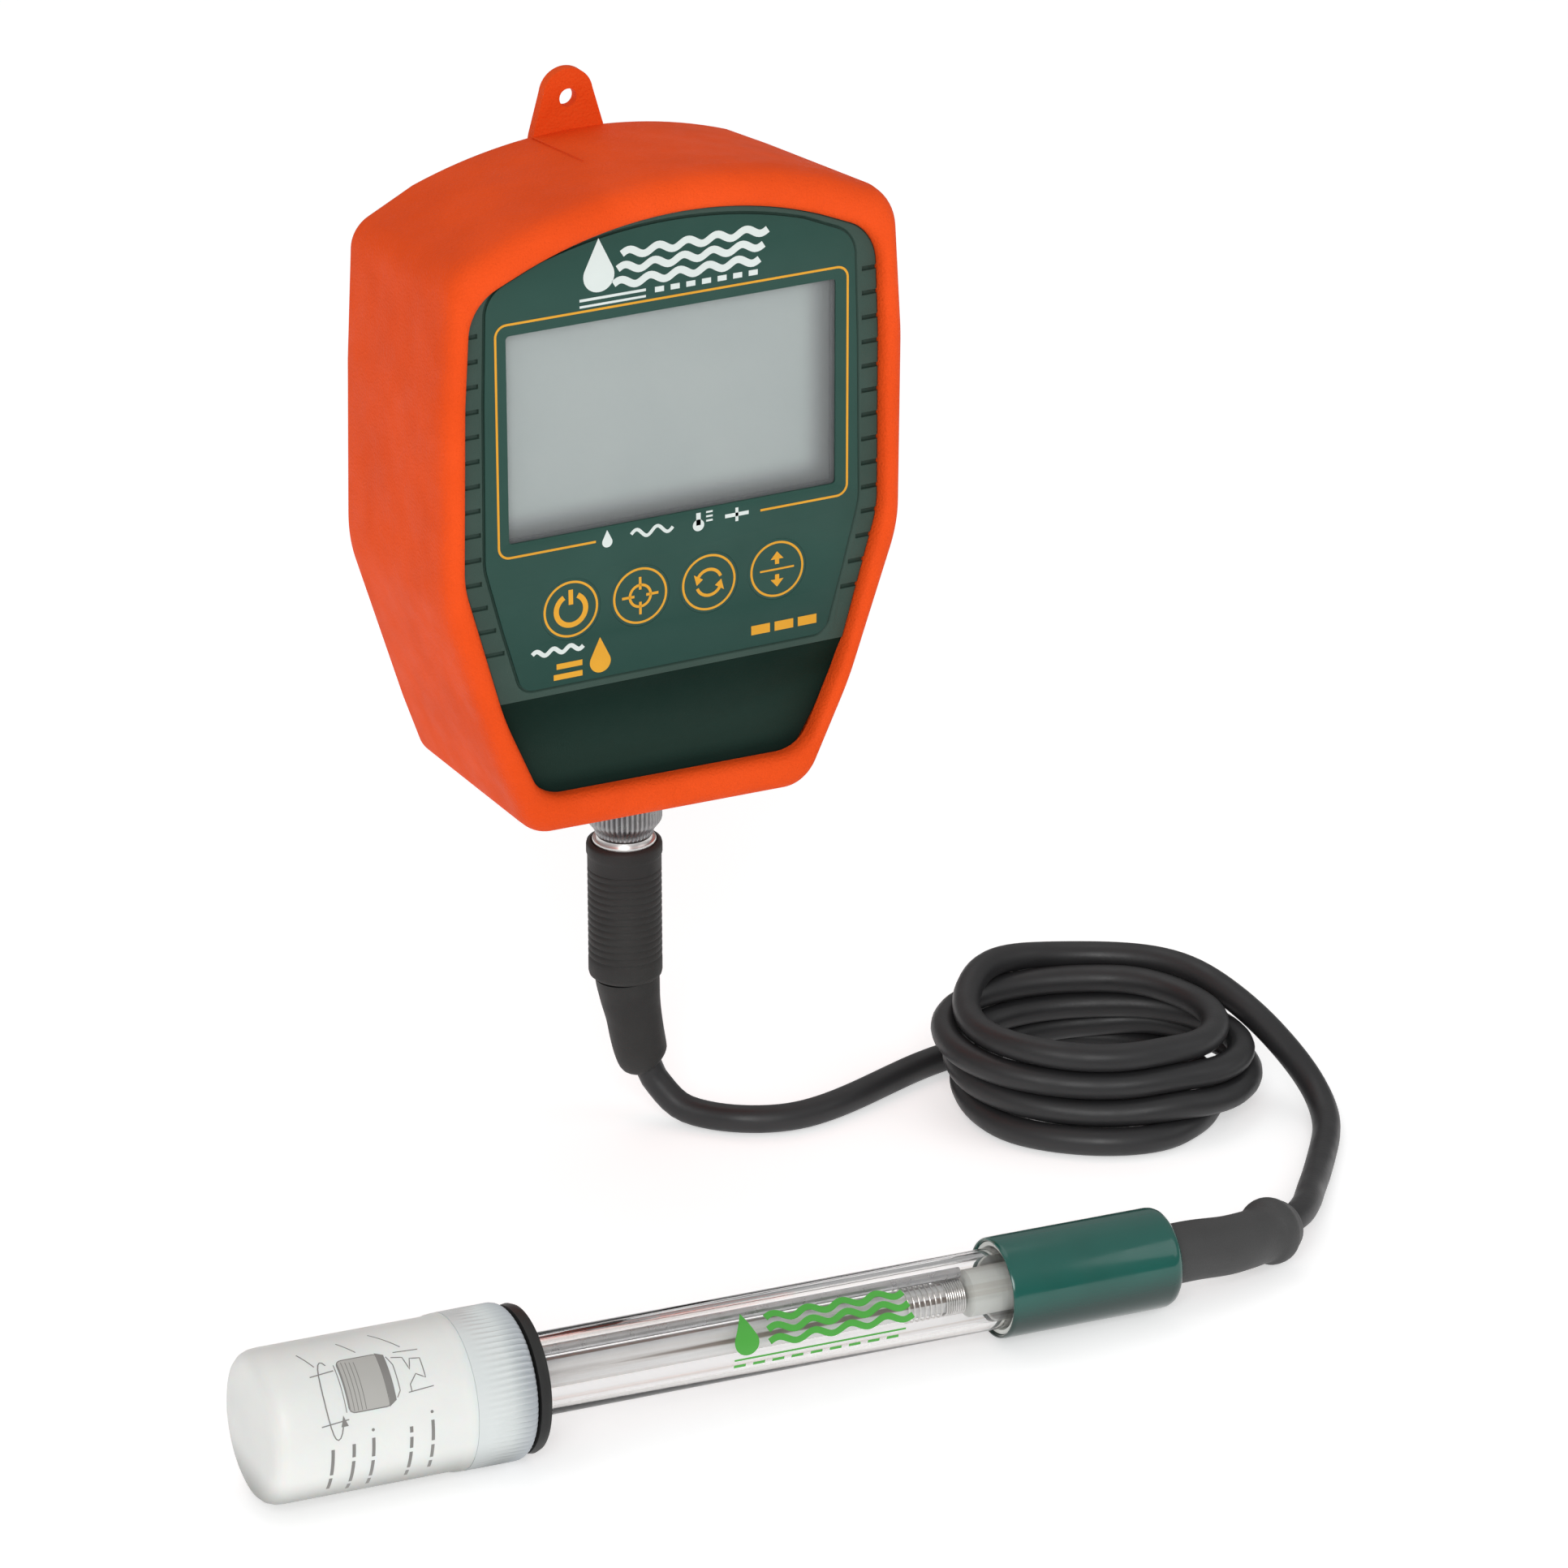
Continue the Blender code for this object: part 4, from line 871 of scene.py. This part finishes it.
def make_back():
    """The battery door and its screws."""
    door = rounded(plate([round_box(57.2, 27.6, 0, DOOR_Z, 1.4),
                          *[circle(1.5, x, DOOR_Z, 32) for x in DOOR_SCREWS]],
                         -1.0, 0.5), 0.3)
    sinks = [drum(2.05, 1.2, (x, 0.62, DOOR_Z), 32) for x in DOOR_SCREWS]
    lines = [block((38, 0.5, 0.6), (0, 0.5, -66.5 + 2.1 * i)) for i in range(9)]
    door = without(door, together("sinks", sinks + lines))
    piece("battery_cover", door, CASE, body="battery_door", cad="battery_door",
          slot="case_green")
    turn = Matrix.Rotation(radians(-90), 4, "X")
    for i, x in enumerate(DOOR_SCREWS, start=1):
        head = turned("screw", [(0, 0.42), (1.2, 0.38), (1.7, 0.22), (1.8, 0.05), (1.45, -0.3),
                                (0.6, -0.6), (0.6, -3.4), (0, -3.4)], 32)
        piece(f"door_screw_{i}", without(head, block((2.1, 0.42, 0.9), (0, 0, 0.4)),
                                         block((0.42, 2.1, 0.9), (0, 0, 0.4))), STEEL,
              body="battery_door", at=Matrix.Translation((x * MM, 0, DOOR_Z * MM)) @ turn,
              cad=f"battery_door_screw_{i}", slot="steel")


def make_plug():
    at = Matrix.Translation((0, PLUG_Y * MM, 0))
    nut = [(4.3, -105.2), (5.4, -105.2), (5.8, -105.5, 0.1), (6.0, -105.9, 0.4),
           (6.0, -110, 0.4), (6.0, -112.5, 0.4), (5.85, -112.9, 0.42), (5.4, -113.5, 0.42),
           (4.95, -114.1, 0.36), (4.75, -114.5, 0.3), (4.66, -114.9, 0.2), (4.6, -115.1),
           (4.5, -115.2), (3.3, -115.2), (3.3, -111.6), (4.3, -111.6)]
    piece("knurled_nut", turned("nut", nut, 352, True, 44), NICKEL, body="coupling_nut", at=at,
          cad="coupling_nut", slot="nickel", sharp=60)
    barrel = [(2.3, -110.3), (4.0, -110.3), (4.0, -111.3), (3.0, -111.3), (3.0, -115.5),
              (4.35, -115.5), (4.4, -115.7), (4.5, -116.0), (4.62, -116.2), (4.78, -116.25),
              (4.86, -116.1), (4.96, -116.05), (5.03, -116.2), (5.03, -117.0), (2.3, -117.0)]
    piece("plug_collar", turned("barrel", barrel, 64, True), SILVER, at=at,
          cad="plug_barrel", slot="nickel")
    grip = [(0, -117.2), (5.1, -117.2), (5.15, -116.6), (5.35, -116.45), (5.9, -116.75),
            (6.0, -117.2), (6.0, -118.4), (5.9, -118.7), (5.84, -119.0), (5.84, -120.9),
            (5.72, -121.0)]
    for i in range(13):
        z = -121.1 - 1.17 * i
        grip += [(5.8, z), (5.85, z - 0.25), (5.85, z - 0.65), (5.8, z - 0.82), (5.69, z - 0.9),
                 (5.69, z - 1.04)]
    grip += [(5.82, -136.4), (5.86, -136.7), (5.86, -138.8), (5.75, -139.3), (5.4, -139.6),
             (0, -139.6)]
    piece("plug_grip_ribbed", turned("grip", grip, 64), GRIP, at=at, cad="plug_grip",
          slot="black_rubber", sharp=50)
    stations = [(0.25, PLUG_Y, -139.7, 5.12), (0.42, PLUG_Y, -141.2, 5.05),
                (0.8, PLUG_Y, -144.1, 4.75), (1.35, PLUG_Y, -147.2, 4.45),
                (1.8, -17.75, -150.2, 4.36), (2.25, -17.8, -152.6, 4.28),
                (2.65, -17.85, -154.3, 4.15), (2.98, -17.9, -155.1, 3.92),
                (3.25, -17.93, -155.6, 3.35), (3.4, -17.94, -155.8, 2.7)]
    piece("plug_boot", swept("boot", stations), GRIP, cad="plug_strain_relief",
          slot="black_rubber", sharp=50)


YAW, TILT = radians(-2.26), radians(-1.98)
ALONG = Vector((math.cos(YAW) * math.cos(TILT), math.sin(YAW) * math.cos(TILT), math.sin(TILT)))
PROBE = Matrix.Translation(Vector((0, -106.9, -156.7)) * MM) @ ALONG.to_track_quat(
    "Z", "Y").to_matrix().to_4x4()


DOWN = PROBE.to_3x3().inverted() @ Vector((0, 0, -1))
# Painted shade: the bottle and its ring turn darker on their undersides.
paint_light_and_shade(MILK, DOWN, 0, 7.5, (0.27, 0.275, 0.26))
paint_light_and_shade(RIBBED, DOWN, 0, 8, (0.27, 0.285, 0.285))
# Painted shade: the ring turns darker toward its knurled end.
paint_light_and_shade(RIBBED, (0, 0, 1), -66, -61, (0.44, 0.47, 0.50))
# Painted shade and painted dark reflection: the sleeve turns darker on its underside.
paint_light_and_shade(TEAL, DOWN, -1, 4, (0.0005, 0.024, 0.019))


def facing_angle(azimuth, elevation):
    """The angle round the electrode that looks a given way."""
    a, e = radians(azimuth), radians(elevation)
    back = Vector((math.sin(a) * math.cos(e), -math.cos(a) * math.cos(e), math.sin(e)))
    local = PROBE.to_3x3().inverted() @ back
    return math.atan2(local.y, local.x)


def round_the_probe(radius, angle):
    """Lays a print round the electrode: across runs along it, and up runs round it."""
    up = Vector((0, 0, 1))
    local = PROBE.to_3x3().inverted() @ up
    way = 1 if math.sin(math.atan2(local.y, local.x) - angle) > 0 else -1

    def lay(s, v):
        turn = angle + way * v / radius
        return (radius * math.cos(turn), radius * math.sin(turn), s)

    return lay


def make_electrode():
    tube = [(6.1, 24.0), (6.1, -92.9), (5.9, -93.4), (5.2, -93.4), (5.0, -93.2), (5.0, 24.0)]
    slots = [block((2.6, 16, 8), (0, 0, -93.4)), block((16, 2.6, 8), (0, 0, -93.4))]
    mesh = without(turned("tube", tube, 96, True), *slots)
    piece("electrode_tube", mesh, CLEAR, at=PROBE, cad="probe_tube",
          slot="clear_plastic")
    stem = [(1.7, 11.2), (2.1, 11.2), (2.3, 11.0), (2.3, -88.1), (2.1, -88.3), (1.7, -88.3)]
    piece("electrode_stem", turned("stem", stem, 48, True), STEM, at=PROBE,
          cad="inner_stem", slot="clear_glass")
    spring = together("spring", [helix(2.72, 1.2, 7.4, 7, 0.15), helix(2.72, 7.7, 11.0, 9, 0.14)])
    block_in = [(0, 11.7), (3.2, 11.7), (3.6, 12.0), (3.6, 25.6), (0, 25.6)]
    piece("potting_block", turned("potting", block_in, 48), CREAM, at=PROBE,
          cad="potting_plug", slot="cream")
    piece("reference_spring", spring, SILVER, at=PROBE, cad="reference_wire",
          slot="silver_wire")
    bush = [(6.25, 17.5), (6.4, 17.25), (7.0, 17.2), (7.1, 17.4), (7.0, 25.6), (6.3, 25.6)]
    piece("sleeve_lining", turned("bush", bush, 64, True), CREAM, at=PROBE,
          cad="sleeve_bush", slot="cream")
    sleeve = [(7.12, 17.3), (7.14, 16.95), (7.3, 16.72), (7.5, 16.75), (7.64, 17.0),
              (7.68, 17.5), (7.68, 43.6), (7.6, 44.3), (7.35, 44.9), (6.9, 45.3), (6.3, 45.45),
              (5.2, 45.45), (4.85, 45.3), (4.85, 31.0), (3.4, 31.0), (3.4, 26.2), (7.1, 26.2)]
    piece("electrode_sleeve", turned("sleeve", sleeve, 96, True), TEAL, at=PROBE,
          cad="probe_sleeve", slot="sleeve_teal")
    make_tube_print()
    make_probe_boot()


def helix(radius, low, high, turns, wire):
    count = turns * 24
    points = []
    for i in range(count + 1):
        angle = 2 * math.pi * i / 24
        points.append((radius * math.cos(angle), radius * math.sin(angle),
                       low + (high - low) * i / count, wire))
    rings = []
    for i, (x, y, z, r) in enumerate(points):
        outward = Vector((x, y, 0)).normalized()
        ring = []
        for k in range(8):
            turn = 2 * math.pi * k / 8
            ring.append(Vector((x, y, z)) + (outward * math.cos(turn)
                                             + Vector((0, 0, 1)) * math.sin(turn)) * r)
        rings.append(ring)
    return loft("helix", rings)


def make_tube_print():
    angle = facing_angle(-27.26, 24.05)
    ink = Ink(round_the_probe(6.115, angle), 0.35)
    ink.drop(-26.2, -0.6, 1.95)
    for i, v in enumerate((2.5, 0.7, -1.1)):
        ink.wave(-22.6, -0.3 + 0.5 * i, v, 0.5, 1.0, 4)
    ink.stroke([(-28.3, -3.1), (-0.5, -3.1)], 0.3)
    for i in range(9):
        ink.stroke([(-28.3 + 3.1 * i, -4.2), (-26.4 + 3.1 * i, -4.2)], 0.5)
    ink.made("tube_green_print", GREEN, at=PROBE)


def make_probe_boot():
    def station(s, r):
        p = Vector((0, -106.9, -156.7)) + ALONG * s
        return (p.x, p.y, p.z, r)

    stations = [station(31.5, 4.6), station(40, 4.6), station(47, 4.6), station(51, 4.58),
                (56.0, -108.85, -159.05, 4.5), (59.8, -108.3, -159.4, 4.4),
                (62.4, -107.55, -159.7, 4.35), (63.5, -107.2, -159.8, 4.36),
                (64.0, -107.0, -159.85, 4.6), (64.5, -106.8, -159.9, 5.0),
                (65.3, -106.5, -159.98, 5.2), (66.2, -106.1, -160.08, 5.2),
                (66.9, -105.8, -160.15, 4.95), (67.5, -105.55, -160.22, 4.5),
                (68.3, -105.1, -160.3, 4.15), (68.8, -104.85, -160.35, 3.6),
                (69.0, -104.75, -160.36, 2.6)]
    piece("electrode_boot", swept("boot", stations), CABLE_BOOT, cad="probe_strain_relief",
          slot="black_rubber", sharp=50)


def make_bottle():
    inside = [(0, -99.7), (8.8, -99.7), (9.5, -99.2), (9.75, -98.2), (9.8, -72.0), (8.1, -70.6)]
    outside = [(8.1, -63.6), (9.6, -63.6), (9.6, -70.9), (11.55, -70.9), (11.58, -71.0),
               (11.58, -71.6), (11.5, -72.4), (11.34, -72.9), (11.32, -98.4), (11.22, -99.5),
               (10.9, -100.4), (10.3, -101.05), (9.4, -101.42), (8.2, -101.5), (0, -101.5)]
    piece("bottle", turned("bottle", inside + outside, 96), MILK, body="storage_bottle",
          at=PROBE, cad="storage_bottle", slot="milky")
    ring = [(6.5, -61.2), (9.9, -61.2), (10.6, -61.3, 0.1), (11.1, -61.6, 0.35),
            (11.45, -62.1, 0.55), (11.62, -62.7, 0.62), (11.62, -64.3, 0.52), (11.62, -66.6, 0.26),
            (11.62, -68.2, 0.1), (11.6, -69.5, 0.0), (11.6, -70.6), (11.58, -70.87),
            (9.9, -70.88),
            (9.9, -63.2), (6.5, -63.2)]
    piece("bottle_ring", turned("ring", ring, 456, True, 76, pointed=True), RIBBED,
          body="locking_ring", at=PROBE, cad="locking_ring", slot="milky", sharp=60)
    seal = [(6.4, -59.0), (10.2, -59.0), (10.8, -59.25), (11.05, -59.9), (10.9, -60.9),
            (6.4, -60.9)]
    piece("seal_ring", turned("seal", seal, 96, True), SEAL, body="bottle_seal", at=PROBE,
          cad="bottle_seal", slot="black_rubber")
    make_label()


def make_label():
    """A wordless sign for opening the bottle, and bars where its words would be."""
    angle = facing_angle(-27.26, 24.05)
    lay = round_the_probe(11.335, angle)
    dark, pale = Ink(lay, 0.6), Ink(round_the_probe(11.33, angle), 0.6)
    body = round_box(6.5, 8.2, -86.9, 4.6, 0.9)
    dark.stroke(body, 0.16, closed=True)
    pale.patch(body)
    dark.patch([(-84.1, 8.9), (-82.9, 8.3), (-82.9, 1.2), (-84.1, 0.4)])
    dark.stroke([(-82.7, 7.9), (-82.1, 6.4), (-82.1, 2.4), (-82.7, 1.5)], 0.14)
    for i in range(6):
        dark.stroke([(-90.6 + 0.6 * i, 8.3 - 0.1 * abs(i - 2)), (-90.6 + 0.6 * i, 0.7)], 0.12)
    dark.stroke([(-94.6, 6.8), (-90.9, 7.2)], 0.16)
    dark.stroke([(-94.6, -0.7), (-90.4, -0.3)], 0.16)
    sweep = [(-92.3 + 1.25 * math.cos(t), 3.0 + 6.0 * math.sin(t))
             for t in [radians(62 + 16 * i) for i in range(17)]]
    dark.stroke(sweep, 0.18)
    dark.patch([(-91.2, 0.4), (-90.6, -1.2), (-91.7, -1.2)])
    dark.stroke([(-82.0, 7.6), (-80.4, 7.3), (-79.9, 5.2), (-79.4, 6.9), (-77.9, 6.7),
                 (-77.9, 3.6), (-79.2, 4.4), (-80.4, 3.0), (-80.4, 2.0)], 0.15)
    dark.stroke([(-81.4, 8.4), (-77.7, 8.2)], 0.14)
    dark.stroke([(-80.9, 1.9), (-77.0, 2.2)], 0.14)
    for near, far in (((-95.0, 11.4), (-93.4, 8.4)), ((-88.6, 12.4), (-86.6, 9.7)),
                      ((-83.4, 13.2), (-80.0, 9.2))):
        dark.stroke([near, far], 0.15)
    for line, (s, start, words) in enumerate(((-77.9, -2.6, (3.2, 2.4, 1.6)),
                                              (-81.2, -3.0, (0.9, 1.8, 3.2, 1.4)),
                                              (-87.0, -3.6, (3.0, 3.2, 1.6)),
                                              (-90.0, -4.0, (2.1, 4.2, 1.5)),
                                              (-93.2, -4.3, (4.4, 2.6)))):
        v = start
        if line in (0, 2):
            dark.patch(circle(0.24, s, v + 1.2, 10))
        for word in words:
            end = v - word
            dark.stroke([(s, v), (s, end)], 0.5)
            v = end - 0.7
    pale.made("label_shading", SHADE, body="storage_bottle", at=PROBE)
    dark.made("label_print", LABEL, body="storage_bottle", at=PROBE)


# ---- the CAD parts that stay ----
def dress_cad():
    kept = {
        CASE: ["rear_case"],
        BEZEL: ["display_bezel", "battery_tray", "switch_power", "switch_calibrate",
                "switch_mode", "switch_store"],
        DISPLAY: ["display_glass"], WINDOW: ["display_window"], BOARD: ["main_board"],
        CHIP: ["processor", "display_connector", "socket_insert", "plug_insert"],
        STEEL: ["case_screw_1", "case_screw_2", "case_screw_3", "case_screw_4",
                "temperature_sensor"],
        NICKEL: ["socket_shell", "socket_nut", "battery_contact_1", "battery_contact_2",
                 "battery_spring_1", "battery_spring_2"],
        SEAL: ["case_seal", "socket_seal", "battery_door_seal"],
        CREAM: ["reference_junction"],
        CLEAR: ["glass_bulb"], WRAP: ["battery_1", "battery_2"],
    }
    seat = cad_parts["display_glass"].matrix_world.translation / MM
    # Painted shade: the display turns darker toward its right and bottom edges, next to the walls
    # of its recess.
    paint_light_and_shade(DISPLAY, (1, 0, 0), 22.6 - seat.x, 27.6 - seat.x, (0.150, 0.160, 0.162))
    paint_light_and_shade(DISPLAY, (0, 0, -1), 50.8 + seat.z, 55.6 + seat.z, (0.135, 0.143, 0.146))
    for made, names in kept.items():
        for name in names:
            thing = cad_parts[name]
            for slot in thing.material_slots:
                slot.link = "OBJECT"
                slot.material = made


def main():
    make_camera()
    make_cable()
    make_studio()
    make_boot()
    make_front_case()
    make_face()
    make_keys()
    make_back()
    make_plug()
    make_electrode()
    make_bottle()
    dress_cad()


main()
